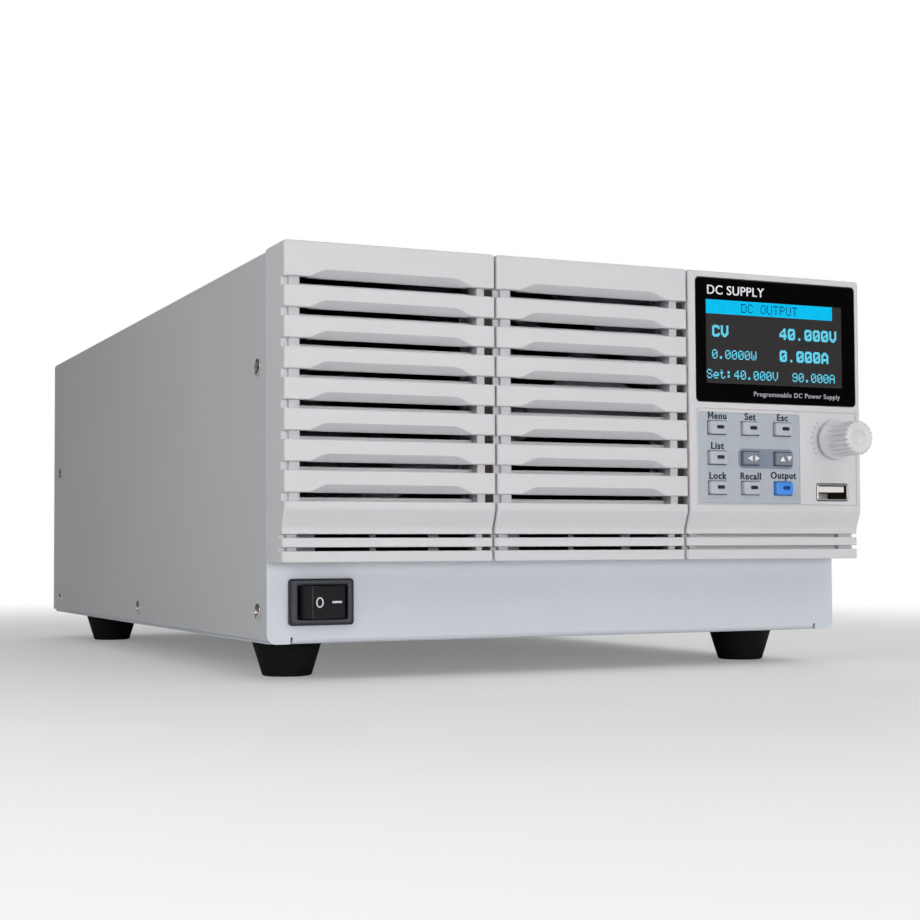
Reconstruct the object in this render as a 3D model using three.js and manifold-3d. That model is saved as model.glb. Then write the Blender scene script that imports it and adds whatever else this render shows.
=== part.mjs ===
// Half-rack programmable DC bench power supply, as an assembly of separate pieces.
// Millimetres, +Z up, +X to the right of a person facing the front, +Y towards the back.
// The drawing frame has Y = 0 on the front plane of the bezels and Z = 0 on the bench;
// the inner group is shifted along Y so that the origin is the centre of the footprint.
import * as THREE from "three";
import { mergeVertices } from "three/addons/utils/BufferGeometryUtils.js";
import Module from "manifold-3d";

const manifold = await Module();
manifold.setup();

// ------------------------------------------------------------------ driving dimensions
const HALF_WIDTH = 107; // half of the overall width across the bezels
const TOP_Z = 136; // top of the bezels
const CHIN_Z = 37.6; // lower edge of the bezels
const CHIN_TOP_Z = 53.7; // where the front face starts to slant back
const CHIN_STEP_Z = 48.3; // where the slant meets the set-back lower strip
const CHIN_BACK = 2.4; // how far the lower strip is set back
const BEZEL_DEPTH = 17.4;
const BEZEL_FRONT = 8; // depth of the solid louvred front
const BEZEL_WALL = 2.2;
const SEAM = 0.6; // gap between two neighbouring bezels
const SEAM_X = 35.9;

const PANEL_Y = 17.6; // front face of the folded chassis panel
const SHEET = 1.2; // chassis sheet
const BASE_Z = 12.1; // underside of the chassis
const REAR_Y = 367.3; // outer face of the rear panel
const COVER_X = 106.9; // outer half width of the cover
const FLANGE_X = 105.6; // outer face of the side flanges
const KNOB_TIP_Y = -15.1; // front-most point
const REAR_MOST_Y = 399.7; // back of the terminal cover

// Left and right edges of the three front modules
const MODULES = {
  left: [-HALF_WIDTH, -SEAM_X - SEAM / 2],
  middle: [-SEAM_X + SEAM / 2, SEAM_X - SEAM / 2],
  control: [SEAM_X + SEAM / 2, HALF_WIDTH],
};

// Clips on the back of a bezel: distance from the module's middle, half width, Z range
const TOP_CLIP = { offset: 22, half: 4, bottom: 132, top: 134 };
const BOTTOM_CLIP = { offset: 28, half: 3, bottom: 39.2, top: 40.6 };
const CLIP_GAP = 0.4;

// Side screws as [y, z]
const CHASSIS_SCREWS = [[26.6, 99.4], [26.6, 21.9], [187.2, 18.9], [349.8, 18.5]];
const REAR_PANEL_SCREW = [350.4, 79.5];
const SIDE_SCREWS = [...CHASSIS_SCREWS, REAR_PANEL_SCREW];

const FOOT = { x: 89.3, y: [51.2, 314.9], topRadius: 11.7, bottomRadius: 8.4, boreRadius: 2 };
// Posts under the power board as [x, y]
const BOARD_POSTS = [[-90, 60], [90, 60], [-90, 290], [90, 290]];

// ------------------------------------------------------------------ solids
// A closed geometry as a solid, turned right way out.
function solid(geometry) {
  const bare = geometry.index ? geometry.toNonIndexed() : geometry.clone();
  bare.deleteAttribute("normal");
  bare.deleteAttribute("uv");
  const merged = mergeVertices(bare, 1e-4);
  const index = merged.index.array;
  const make = (flip) => {
    const triangles = [];
    for (let i = 0; i < index.length; i += 3) {
      const [a, b, c] = [index[i], index[i + 1], index[i + 2]];
      if (a === b || b === c || a === c) continue;
      triangles.push(...(flip ? [a, c, b] : [a, b, c]));
    }
    return new manifold.Manifold(
      new manifold.Mesh({
        numProp: 3,
        vertProperties: new Float32Array(merged.attributes.position.array),
        triVerts: new Uint32Array(triangles),
      }),
    );
  };
  const result = make(false);
  return result.volume() < 0 ? make(true) : result;
}
const union = (...list) => list.flat().reduce((a, b) => a.add(b));
const cut = (body, ...list) => list.flat().reduce((a, b) => a.subtract(b), body);

const box = (left, right, front, back, bottom, top) =>
  solid(
    new THREE.BoxGeometry(right - left, back - front, top - bottom).translate(
      (left + right) / 2,
      (front + back) / 2,
      (bottom + top) / 2,
    ),
  );
// A box centred on (x, z)
const centredBox = (x, z, width, height, front, back) =>
  box(x - width / 2, x + width / 2, front, back, z - height / 2, z + height / 2);
// A box over a { left, right, bottom, top } area, grown on all four sides
const areaBox = (area, grow, front, back) =>
  box(area.left - grow, area.right + grow, front, back, area.bottom - grow, area.top + grow);
// Two boxes mirrored about X = 0
const boxPair = (inner, outer, ...rest) => [
  box(-outer, -inner, ...rest),
  box(inner, outer, ...rest),
];

const extrude = (outline, depth, curveSegments) =>
  new THREE.ExtrudeGeometry(
    outline instanceof THREE.Shape
      ? outline
      : new THREE.Shape(outline.map((point) => new THREE.Vector2(...point))),
    { depth, bevelEnabled: false, curveSegments },
  );
const axesYZX = new THREE.Matrix4().makeBasis(
  new THREE.Vector3(0, 1, 0),
  new THREE.Vector3(0, 0, 1),
  new THREE.Vector3(1, 0, 0),
);
// outline in (y, z), swept along X
const prismX = (outline, left, right, curve = 6) =>
  solid(extrude(outline, right - left, curve).applyMatrix4(axesYZX).translate(left, 0, 0));
// outline in (x, z), swept along Y
const prismY = (outline, front, back, curve = 6) =>
  solid(extrude(outline, back - front, curve).rotateX(Math.PI / 2).translate(0, back, 0));
// outline in (x, y), swept along Z
const prismZ = (outline, bottom, top, curve = 6) =>
  solid(extrude(outline, top - bottom, curve).translate(0, 0, bottom));

const cylinder = (radius, length, segments) =>
  new THREE.CylinderGeometry(radius, radius, length, segments);
const cylX = (y, z, radius, left, right, segments) =>
  solid(
    cylinder(radius, right - left, segments)
      .rotateZ(-Math.PI / 2)
      .translate((left + right) / 2, y, z),
  );
const cylY = (x, z, radius, front, back, segments = 24) =>
  solid(cylinder(radius, back - front, segments).translate(x, (front + back) / 2, z));
const cylZ = (x, y, radius, bottom, top, segments = 24) =>
  solid(
    cylinder(radius, top - bottom, segments)
      .rotateX(Math.PI / 2)
      .translate(x, y, (bottom + top) / 2),
  );
// A profile of [radius, height] turned about Y, then moved by place
const lathe = (profile, segments, place) =>
  solid(
    place(new THREE.LatheGeometry(profile.map((p) => new THREE.Vector2(...p)), segments)),
  );

function roundedRect(left, right, bottom, top, radius) {
  const shape = new THREE.Shape();
  shape.moveTo(left + radius, bottom);
  shape.lineTo(right - radius, bottom);
  shape.absarc(right - radius, bottom + radius, radius, -Math.PI / 2, 0);
  shape.lineTo(right, top - radius);
  shape.absarc(right - radius, top - radius, radius, 0, Math.PI / 2);
  shape.lineTo(left + radius, top);
  shape.absarc(left + radius, top - radius, radius, Math.PI / 2, Math.PI);
  shape.lineTo(left, bottom + radius);
  shape.absarc(left + radius, bottom + radius, radius, Math.PI, 1.5 * Math.PI);
  return shape;
}
// A slab with rounded corners over an area, grown on all four sides
const roundedSlab = ({ left, right, bottom, top }, grow, radius, front, back, curve) =>
  prismY(
    roundedRect(left - grow, right + grow, bottom - grow, top + grow, radius),
    front,
    back,
    curve,
  );
const areaAround = (x, z, width, height) => ({
  left: x - width / 2,
  right: x + width / 2,
  bottom: z - height / 2,
  top: z + height / 2,
});

// A solid through a row of sections, each the same number of [x, y, z] points.
function loft(sections) {
  const count = sections[0].length;
  const index = [];
  for (let s = 0; s + 1 < sections.length; s++)
    for (let i = 0; i < count; i++) {
      const here = s * count + i;
      const next = s * count + ((i + 1) % count);
      index.push(here, next, next + count, here, next + count, here + count);
    }
  const last = (sections.length - 1) * count;
  for (let i = 1; i + 1 < count; i++) {
    index.push(0, i + 1, i);
    index.push(last, last + i, last + i + 1);
  }
  const geometry = new THREE.BufferGeometry();
  geometry.setAttribute("position", new THREE.Float32BufferAttribute(sections.flat(2), 3));
  geometry.setIndex(index);
  return solid(geometry);
}

// ------------------------------------------------------------------ materials and meshes
// Metalness is 0 where it is not given.
const FINISHES = {
  bezel: { color: "#d9d8dc", roughness: 0.55 },
  cover: { color: "#c3c4c8", roughness: 0.6, metalness: 0.1 },
  chassis: { color: "#c4cad1", roughness: 0.6, metalness: 0.1 },
  glass: { color: "#060708", roughness: 0.08 },
  keypad: { color: "#9fa6b1", roughness: 0.5 },
  key: { color: "#aeb3bd", roughness: 0.45 },
  arrowKey: { color: "#76869b", roughness: 0.45 },
  blueKey: { color: "#3f94e6", roughness: 0.4 },
  knob: { color: "#c9c9cb", roughness: 0.4 },
  rubber: { color: "#121416", roughness: 0.85 },
  black: { color: "#22242c", roughness: 0.45 },
  steel: { color: "#b9bbbf", roughness: 0.3, metalness: 1 },
  tin: { color: "#c8c8c4", roughness: 0.3, metalness: 1 },
  board: { color: "#1e5a3c", roughness: 0.5 },
  alloy: { color: "#b8bcc2", roughness: 0.4, metalness: 1 },
  white: { color: "#e8e6e0", roughness: 0.5 },
  green: { color: "#2f8f4e", roughness: 0.5 },
  copper: { color: "#b87a48", roughness: 0.35, metalness: 1 },
  grey: { color: "#8f9298", roughness: 0.5 },
  dark: { color: "#17181b", roughness: 0.6 },
};

const inner = new THREE.Group();
inner.position.y = -(KNOB_TIP_Y + REAR_MOST_Y) / 2;
const group = new THREE.Group();
group.add(inner);

function add(name, piece, finish) {
  const { vertProperties, triVerts } = piece.getMesh();
  const geometry = new THREE.BufferGeometry();
  geometry.setAttribute(
    "position",
    new THREE.Float32BufferAttribute(Float32Array.from(vertProperties), 3),
  );
  geometry.setIndex(Array.from(triVerts));
  geometry.computeVertexNormals();
  const mesh = new THREE.Mesh(geometry, new THREE.MeshStandardMaterial(FINISHES[finish]));
  mesh.name = name;
  inner.add(mesh);
}

// ------------------------------------------------------------------ bezels
const SLOT = {
  count: 8,
  height: 2.72,
  pitch: 9.422,
  topZ: 122.23, // top edge of the first bar under the top slot
  half: 29.8, // half width of the open part
  lipY: 6.2, // back of the full-height part
  lipHeight: 1.35, // inner louvre lip
  reliefHeight: 1.5, // hollow behind the wall over a slot
};
const GROOVE = 2.2; // depth of the groove that wraps the module's corners
const GROOVE_BACK = 3.4; // how far the groove runs back along the side
const SCOOP = { height: 2.4, depth: 4, flatHalf: 21.1, endHalf: 29 };
// How a scoop swells from its end to its flat: [fraction of the way, fraction of height]
const SCOOP_RISE = [[0, -0.06], [0.3, 0.2], [0.65, 0.72], [1, 1]];
// Bottom and top of the chin slots
const CHIN_SLOTS = [[45.15, 46.3], [41.04, 42.25]];

const middleOf = ([left, right]) => (left + right) / 2;
const clipBox = (x, clip, grow, front, back) =>
  box(
    x - clip.half - grow,
    x + clip.half + grow,
    front,
    back,
    clip.bottom - grow,
    clip.top + grow,
  );

// The outer body of one front module, hollow from behind.
function moduleBody([left, right], frontThickness) {
  const profile = [
    [0, TOP_Z],
    [0, CHIN_TOP_Z],
    [CHIN_BACK, CHIN_STEP_Z],
    [CHIN_BACK, CHIN_Z],
    [BEZEL_DEPTH, CHIN_Z],
    [BEZEL_DEPTH, TOP_Z],
  ];
  const hollow = box(
    left + BEZEL_WALL,
    right - BEZEL_WALL,
    frontThickness,
    BEZEL_DEPTH + 1,
    CHIN_Z + 2,
    TOP_Z - BEZEL_WALL,
  );
  const middle = middleOf([left, right]);
  const clips = [TOP_CLIP, BOTTOM_CLIP].flatMap((clip) =>
    [-1, 1].map((side) => clipBox(middle + side * clip.offset, clip, 0, 12, 21.4)),
  );
  return union(cut(prismX(profile, left, right), hollow), clips);
}

// The groove of one slot, cut into the front and wrapped round both sides.
function wrapGroove([left, right], bottom, top, frontY) {
  const sideY = frontY + GROOVE_BACK;
  return [
    box(left - 1, right + 1, -1, frontY + GROOVE, bottom, top),
    box(left - 1, left + GROOVE, -1, sideY, bottom, top),
    box(right - GROOVE, right + 1, -1, sideY, bottom, top),
  ];
}

// The scooped facet over a slot: its outline swells from nothing to full height.
function scoop(middle, bottom) {
  const slope = SCOOP.height / SCOOP.depth;
  const section = (x, fraction) => {
    const height = SCOOP.height * fraction;
    return [
      [middle + x, -1, bottom - 0.5],
      [middle + x, -1, bottom + height + slope],
      [middle + x, (height + 0.5) / slope, bottom - 0.5],
    ];
  };
  const reach = (along) => SCOOP.endHalf - (SCOOP.endHalf - SCOOP.flatHalf) * along;
  return loft([
    ...SCOOP_RISE.map(([along, fraction]) => section(-reach(along), fraction)),
    ...[...SCOOP_RISE].reverse().map(([along, fraction]) => section(reach(along), fraction)),
  ]);
}

function grille(edges) {
  const middle = middleOf(edges);
  const back = BEZEL_FRONT + 1;
  const slotBox = (front, rear, bottom, top) =>
    box(middle - SLOT.half, middle + SLOT.half, front, rear, bottom, top);
  const cuts = [];
  for (let k = 0; k < SLOT.count; k++) {
    const z = SLOT.topZ - SLOT.pitch * k;
    const top = z + SLOT.height;
    cuts.push(
      ...wrapGroove(edges, z, top, 0),
      slotBox(-1, SLOT.lipY, z, top),
      slotBox(6, back, z + SLOT.lipHeight, top),
      scoop(middle, top),
      // relief behind the thin wall over the slot
      slotBox(SCOOP.depth + 0.1, back, top - 0.1, top + SLOT.reliefHeight),
    );
  }
  for (const [bottom, top] of CHIN_SLOTS)
    cuts.push(
      ...wrapGroove(edges, bottom, top, CHIN_BACK),
      box(middle - 30, middle + 28.8, -1, back, bottom, top),
    );
  return cut(moduleBody(edges, BEZEL_FRONT), cuts);
}
add("grille_left", grille(MODULES.left), "bezel");
add("grille_middle", grille(MODULES.middle), "bezel");

// Control module
const FACE = 2.7; // thickness of its front wall
const WINDOW = { left: 39, right: 105, bottom: 91.2, top: 133.7, radius: 1.5, depth: 1.5 };
const KEYPAD = { left: 39.8, right: 80.9, bottom: 56.8, top: 87.6, depth: 1.1 };
const POCKET_GAP = 0.15; // around and behind the window and the keypad
// Hairline groove around the control area
const RIM = { left: 39, right: 105.1, bottom: 56.1, top: 89, width: 0.4, depth: 0.35 };
const USB = { left: 88.05, right: 101, bottom: 58, top: 63.7 };
const KEY = { width: 6.9, height: 4.35, out: 1.45, chamfer: 0.3 };
const KEY_X = [46.95, 60.35, 73.65];
const KEY_Z = [82.4, 72.15, 61.95];
const KEY_CENTRES = KEY_Z.flatMap((z) => KEY_X.map((x) => [x, z])); // row by row from the top
const KNOB = { x: 95.2, z: 79.2, skirtRadius: 6.85, gripRadius: 5.95 };

const keyHoles = (gap, back) =>
  KEY_CENTRES.map(([x, z]) =>
    centredBox(x, z, KEY.width + 2 * gap, KEY.height + 2 * gap, -1, back),
  );

function controlBezel() {
  const edges = MODULES.control;
  const [left, right] = edges;
  // the slanted and set-back chin needs its own thickness behind it
  const body = union(
    moduleBody(edges, FACE),
    box(left + 1, right - 1, CHIN_BACK + 0.5, BEZEL_FRONT, CHIN_Z + 1, 51.5),
  );
  const windowBack = WINDOW.depth + POCKET_GAP;
  const cuts = [
    roundedSlab(WINDOW, POCKET_GAP, WINDOW.radius + 0.1, -1, windowBack, 4),
    box(40.6, 101.4, 1, FACE + 1, 94.6, 129.4), // opening behind the window
    roundedSlab(KEYPAD, POCKET_GAP, 0.5, -1, KEYPAD.depth + POCKET_GAP, 3),
    cylY(KNOB.x, KNOB.z, 4.4, -1, FACE + 1),
    areaBox(USB, 0.3, -1, FACE + 1),
    keyHoles(0.3, FACE + 1),
    cut(areaBox(RIM, 0, -1, RIM.depth), areaBox(RIM, -RIM.width, -2, 1)),
    CHIN_SLOTS.flatMap(([bottom, top]) => [
      ...wrapGroove(edges, bottom, top, CHIN_BACK),
      box(41, 100.2, -1, 6.4, bottom, top),
    ]),
  ];
  let bezel = cut(body, cuts.flat());
  // screw posts for the front board
  for (const x of [42.2, 101.6])
    for (const z of [54.6, 92])
      bezel = union(bezel, cut(cylY(x, z, 2.2, 2.2, 9.1, 12), cylY(x, z, 0.9, 4.5, 10, 8)));
  return bezel;
}
add("control_bezel", controlBezel(), "bezel");
add("display_window", roundedSlab(WINDOW, 0, WINDOW.radius, -0.05, WINDOW.depth, 5), "glass");
add(
  "display_module",
  union(box(41, 101, 1.8, 6.4, 95, 129), box(44, 98, 6.3, 7.6, 100, 124)),
  "dark",
);

// ------------------------------------------------------------------ keypad
add(
  "keypad_panel",
  cut(roundedSlab(KEYPAD, 0, 0.4, 0.02, KEYPAD.depth, 3), keyHoles(0.2, 3)),
  "keypad",
);

// A key cap: chamfered face, hidden flange and stem.
function key(x, z, hasLamp) {
  const { width, height, out, chamfer } = KEY;
  const ring = (y, inset) => {
    const { left, right, bottom, top } = areaAround(x, z, width - 2 * inset, height - 2 * inset);
    return [
      [left, y, bottom],
      [right, y, bottom],
      [right, y, top],
      [left, y, top],
    ];
  };
  const cap = union(
    loft([ring(-out, chamfer), ring(-out + chamfer, 0), ring(3.1, 0)]),
    centredBox(x, z, width + 1.6, height + 1.6, 3, 3.9),
    cylY(x, z, 1.4, 3.5, 5.3, 6),
  );
  if (!hasLamp) return cap;
  return cut(cap, centredBox(x + 0.7, z + 0.2, 2.8, 1.1, -out - 1, -out + 0.35));
}
// Name and finish, in the order of KEY_CENTRES
[
  ["key_menu", "key"],
  ["key_set", "key"],
  ["key_esc", "key"],
  ["key_list", "key"],
  ["key_left_right", "arrowKey"],
  ["key_up_down", "arrowKey"],
  ["key_lock", "key"],
  ["key_recall", "key"],
  ["key_output", "blueKey"],
].forEach(([name, finish], i) => {
  add(name, key(...KEY_CENTRES[i], finish !== "arrowKey"), finish);
});

// ------------------------------------------------------------------ rotary encoder
const FLUTES = { count: 18, depth: 0.45 };
const SHAFT_FLAT = 2.6; // height of the shaft's flat above its axis

function encoderKnob() {
  const { x, z, skirtRadius, gripRadius } = KNOB;
  const place = (geometry) => geometry.translate(x, 0, z);
  // fluted outline: [fraction of a flute's pitch, radius]
  const flute = [
    [0.05, gripRadius],
    [0.5, gripRadius],
    [0.78, gripRadius - FLUTES.depth],
  ];
  const star = [];
  for (let i = 0; i < FLUTES.count; i++)
    for (const [fraction, radius] of flute) {
      const angle = ((i + fraction) / FLUTES.count) * 2 * Math.PI;
      star.push([x + radius * Math.cos(angle), z + radius * Math.sin(angle)]);
    }
  const tip = [
    [0, -14.6],
    [3.2, -14.75],
    [4.2, KNOB_TIP_Y],
    [4.9, KNOB_TIP_Y],
    [5.75, -14.2],
    [5.45, -13.9],
    [0, -13.9],
  ];
  const skirt = [
    [0, -5.6],
    [5.5, -5.6],
    [6.35, -3.6],
    [skirtRadius, -2.4],
    [skirtRadius, -0.75],
    [0, -0.75],
  ];
  const shaftBore = cut(
    cylY(x, z, 3.3, -10.4, 1, 18),
    box(x - 5, x + 5, -11, -3.2, z + SHAFT_FLAT + 0.3, z + 6),
  );
  return cut(
    union(prismY(star, -14.3, -4.2), lathe(tip, 20, place), lathe(skirt, 24, place)),
    shaftBore,
    cylY(x, z, 5.7, -2.4, 1, 20),
  );
}

function encoderShaft({ x, z }) {
  return cut(
    union(cylY(x, z, 3, -10, 5), cylY(x, z, 1.5, 4.5, 8.3, 16)),
    box(x - 5, x + 5, -11, -2.9, z + SHAFT_FLAT, z + 6),
  );
}

function encoderBody({ x, z }) {
  return cut(
    union(centredBox(x, z, 12, 12.4, 3.3, 9.1), cylY(x, z, 4, -1.6, 4, 20)),
    cylY(x, z, 3.3, -3, 6),
    cylY(x, z, 5, 5.2, 10),
  );
}
add("encoder_knob", encoderKnob(), "knob");
add("encoder_shaft", encoderShaft(KNOB), "alloy");
add(
  "encoder_rotor",
  cut(cylY(KNOB.x, KNOB.z, 4.6, 5.7, 7.6), cylY(KNOB.x, KNOB.z, 1.8, 5, 8, 16)),
  "dark",
);
add("encoder_body", encoderBody(KNOB), "alloy");

// ------------------------------------------------------------------ front USB socket
add(
  "usb_port_shell",
  cut(areaBox(USB, 0, -0.25, 13.6), areaBox(USB, -0.4, -1, 12.9)),
  "steel",
);
add(
  "usb_port_tongue",
  union(
    box(USB.left + 1, USB.right - 1, 0.7, 11.5, USB.bottom + 2.9, USB.bottom + 4.9),
    areaBox(USB, -0.7, 10.5, 12.6),
  ),
  "white",
);

// ------------------------------------------------------------------ mains switch
const SWITCH = { x: -89.1, z: 25.1, pivotY: 18.6 };
const SWITCH_FLANGE = { left: -100, right: -78.6, bottom: 17.8, top: 32.5 };
const SWITCH_BODY = {
  left: SWITCH.x - 9.5,
  right: SWITCH.x + 9.3,
  bottom: 18.9,
  top: 31.3,
};
const SWITCH_OPENING = { width: 16.5, height: 10.7 };
const ROCKER = { radius: 7.9, height: 5, tilt: 14, gap: 0.25 }; // tilt in degrees

function switchHousing() {
  const { x, z, pivotY } = SWITCH;
  return union(
    cut(
      union(
        roundedSlab(SWITCH_FLANGE, 0, 1.1, 15.8, 17.6, 4),
        areaBox(SWITCH_BODY, 0, 17.3, 30.4),
      ),
      centredBox(x, z, SWITCH_OPENING.width, SWITCH_OPENING.height, 14, 28.8),
      cylZ(x, pivotY + 2, 1.5, 18, 32, 16),
    ),
    [-7, 0, 7].map((offset) => centredBox(x + offset, z, 0.8, 4.8, 30, 38.5)),
  );
}

// A cylinder segment about the pivot, its face tilted by the throw.
function switchRocker() {
  const { x, z, pivotY } = SWITCH;
  const { radius, height, gap } = ROCKER;
  const faceAngle = Math.asin(height / radius);
  // angles are measured in (x, y) with -y towards the user
  const arc = (from, to, steps) =>
    Array.from({ length: steps + 1 }, (_, i) => {
      const angle = from + ((to - from) * i) / steps;
      return [radius * Math.cos(angle), radius * Math.sin(angle)];
    });
  const outline = [
    ...arc(-faceAngle, 0.5, 10), // right flank
    [4, 5.6],
    [-4, 5.6],
    ...arc(Math.PI - 0.5, Math.PI + faceAngle, 10), // left flank
  ];
  const tilt = (ROCKER.tilt * Math.PI) / 180;
  const turned = outline.map(([across, back]) => [
    x + across * Math.cos(tilt) - back * Math.sin(tilt),
    pivotY + across * Math.sin(tilt) + back * Math.cos(tilt),
  ]);
  const half = SWITCH_OPENING.height / 2 - gap;
  return prismZ(turned, z - half, z + half);
}
add("switch_housing", switchHousing(), "black");
add("switch_rocker", switchRocker(), "black");

// ------------------------------------------------------------------ chassis
const BEND_RADIUS = 1.8; // outside of the fold under the front panel

// Holes for the given side screws, through both sides from an inner X outwards
const screwHoles = (screws, innerX) =>
  screws.flatMap(([y, z]) => [
    cylX(y, z, 1.8, -110, -innerX, 8),
    cylX(y, z, 1.8, innerX, 110, 8),
  ]);

// Front panel with rounded lower corners and a notch along its lower edge
function frontPlate() {
  const radius = 3;
  const top = 135.4;
  const notchX = 99.2;
  const notchZ = 14.2;
  const arcX = COVER_X - radius;
  const arcZ = BASE_Z + radius;
  const shape = new THREE.Shape();
  shape.moveTo(-COVER_X, top);
  shape.lineTo(-COVER_X, arcZ);
  shape.absarc(-arcX, arcZ, radius, Math.PI, 1.5 * Math.PI);
  shape.lineTo(-notchX, BASE_Z);
  shape.lineTo(-notchX, notchZ);
  shape.lineTo(notchX, notchZ);
  shape.lineTo(notchX, BASE_Z);
  shape.lineTo(arcX, BASE_Z);
  shape.absarc(arcX, arcZ, radius, 1.5 * Math.PI, 2 * Math.PI);
  shape.lineTo(COVER_X, top);
  shape.closePath();
  return prismY(shape, PANEL_Y, PANEL_Y + SHEET, 5);
}

// The fold that joins the front panel to the floor
function frontBend() {
  const arcY = PANEL_Y + BEND_RADIUS;
  const arcZ = BASE_Z + BEND_RADIUS;
  const shape = new THREE.Shape();
  shape.moveTo(22, BASE_Z);
  shape.lineTo(22, BASE_Z + SHEET);
  shape.lineTo(arcY, BASE_Z + SHEET);
  shape.absarc(arcY, arcZ, BEND_RADIUS - SHEET, -Math.PI / 2, Math.PI, true);
  shape.lineTo(PANEL_Y + SHEET, 16);
  shape.lineTo(PANEL_Y, 16);
  shape.lineTo(PANEL_Y, arcZ);
  shape.absarc(arcY, arcZ, BEND_RADIUS, Math.PI, 1.5 * Math.PI);
  shape.closePath();
  return prismX(shape, -98.4, 98.4, 4);
}

function panelHoles() {
  const [front, back] = [17, 20];
  const hole = (left, right, bottom, top) => box(left, right, front, back, bottom, top);
  const clipHole = (x, clip) => clipBox(x, clip, CLIP_GAP, front, back);
  const holes = [
    hole(48, 92, 66, 124), // cable and board clearance
    areaBox(SWITCH_BODY, 0.3, front, back),
    clipHole(middleOf(MODULES.control) + BOTTOM_CLIP.offset, BOTTOM_CLIP),
  ];
  for (const middle of [MODULES.left, MODULES.middle].map(middleOf))
    holes.push(
      hole(middle - 31, middle + 31, 55, 130),
      hole(middle - 19.5, middle - 1.1, 39.6, 48.5),
      hole(middle + 0.9, middle + 19.3, 39.6, 48.5),
      hole(middle + 22.9, middle + 33.5, 38.8, 48.5),
    );
  for (const middle of Object.values(MODULES).map(middleOf))
    holes.push(
      clipHole(middle - TOP_CLIP.offset, TOP_CLIP),
      clipHole(middle + TOP_CLIP.offset, TOP_CLIP),
      clipHole(middle - BOTTOM_CLIP.offset, BOTTOM_CLIP),
    );
  return holes;
}

function baseChassis() {
  const footHoles = [-FOOT.x, FOOT.x].flatMap((x) =>
    FOOT.y.map((y) => cylZ(x, y, FOOT.boreRadius, 10, 15, 8)),
  );
  return cut(
    union(
      frontPlate(),
      frontBend(),
      box(-FLANGE_X, FLANGE_X, 21, REAR_Y, BASE_Z, BASE_Z + SHEET),
      boxPair(FLANGE_X - SHEET, FLANGE_X, 21, 365.8, BASE_Z, 36),
      boxPair(FLANGE_X - SHEET, FLANGE_X, PANEL_Y + 0.6, 38, 30, 131),
      BOARD_POSTS.map(([x, y]) => cylZ(x, y, 3, 13, 19.6, 8)),
    ),
    panelHoles(),
    screwHoles(CHASSIS_SCREWS, 100),
    footHoles,
  );
}
add("base_chassis", baseChassis(), "chassis");

// ------------------------------------------------------------------ cover
const COVER = { topZ: 135.7, bottomZ: 13.3, thickness: 1, frontY: 19, radius: 2 };

function topCover() {
  const { topZ, bottomZ, thickness, frontY, radius } = COVER;
  const innerX = COVER_X - thickness;
  const arcX = COVER_X - radius;
  const arcZ = topZ - radius;
  const shape = new THREE.Shape();
  shape.moveTo(-COVER_X, bottomZ);
  shape.lineTo(-innerX, bottomZ);
  shape.lineTo(-innerX, arcZ);
  shape.absarc(-arcX, arcZ, radius - thickness, Math.PI, Math.PI / 2, true);
  shape.lineTo(arcX, topZ - thickness);
  shape.absarc(arcX, arcZ, radius - thickness, Math.PI / 2, 0, true);
  shape.lineTo(innerX, bottomZ);
  shape.lineTo(COVER_X, bottomZ);
  shape.lineTo(COVER_X, arcZ);
  shape.absarc(arcX, arcZ, radius, 0, Math.PI / 2);
  shape.lineTo(-arcX, topZ);
  shape.absarc(-arcX, arcZ, radius, Math.PI / 2, Math.PI);
  shape.closePath();
  return cut(prismY(shape, frontY, REAR_Y, 4), screwHoles(SIDE_SCREWS, 104));
}
add("top_cover", topCover(), "cover");

// ------------------------------------------------------------------ screws and feet
// From the thread tip to the head: [radius, distance outside the cover]
const SCREW_PROFILE = [
  [0, -6],
  [1.5, -6],
  [1.5, 0],
  [2.85, 0],
  [2.85, 0.3],
  [2.3, 0.65],
  [0, 0.75],
];

function coverScrew(side, y, z) {
  const x = side * (COVER_X + 0.85);
  return cut(
    lathe(SCREW_PROFILE, 12, (geometry) =>
      geometry.rotateZ((-side * Math.PI) / 2).translate(side * COVER_X, y, z),
    ),
    // cross recess
    box(x - 0.7, x + 0.7, y - 1.75, y + 1.75, z - 0.4, z + 0.4),
    box(x - 0.7, x + 0.7, y - 0.4, y + 0.4, z - 1.75, z + 1.75),
  );
}
SIDE_SCREWS.forEach(([y, z], i) => {
  add(`cover_screw_left_${i + 1}`, coverScrew(-1, y, z), "steel");
  add(`cover_screw_right_${i + 1}`, coverScrew(1, y, z), "steel");
});

function foot(x, y) {
  const profile = [
    [0, 0],
    [FOOT.bottomRadius - 0.7, 0],
    [FOOT.bottomRadius, 0.8],
    [FOOT.topRadius, BASE_Z],
    [0, BASE_Z],
  ];
  return cut(
    lathe(profile, 20, (geometry) => geometry.rotateX(Math.PI / 2).translate(x, y, 0)),
    cylZ(x, y, 4.2, -1, 6.5, 12),
    cylZ(x, y, FOOT.boreRadius, 5, 13, 8),
  );
}
for (const [side, x] of [["left", -FOOT.x], ["right", FOOT.x]]) {
  add(`foot_front_${side}`, foot(x, FOOT.y[0]), "rubber");
  add(`foot_rear_${side}`, foot(x, FOOT.y[1]), "rubber");
}

// ------------------------------------------------------------------ rear panel
// Rear connectors: centre, body size and the gap around the body in the panel
const INLET = { x: -74, z: 38, width: 28, height: 20.4, gap: 0.3 };
const LAN = { x: -32, z: 28, width: 16, height: 13.5, gap: 0.3 };
const USB_DEVICE = { x: -9, z: 28, width: 12, height: 11, gap: 0.35 };
const ANALOG = { x: -21, z: 53, width: 38, height: 9.2, gap: 0.3 };
const SENSE = { x: 14, z: 40, width: 12, height: 28, gap: 0.3 };
const OUTPUT = { x: 63, z: 40, width: 66, height: 20, gap: 0.3 };
const CONNECTORS = [INLET, LAN, USB_DEVICE, ANALOG, SENSE, OUTPUT];

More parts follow.
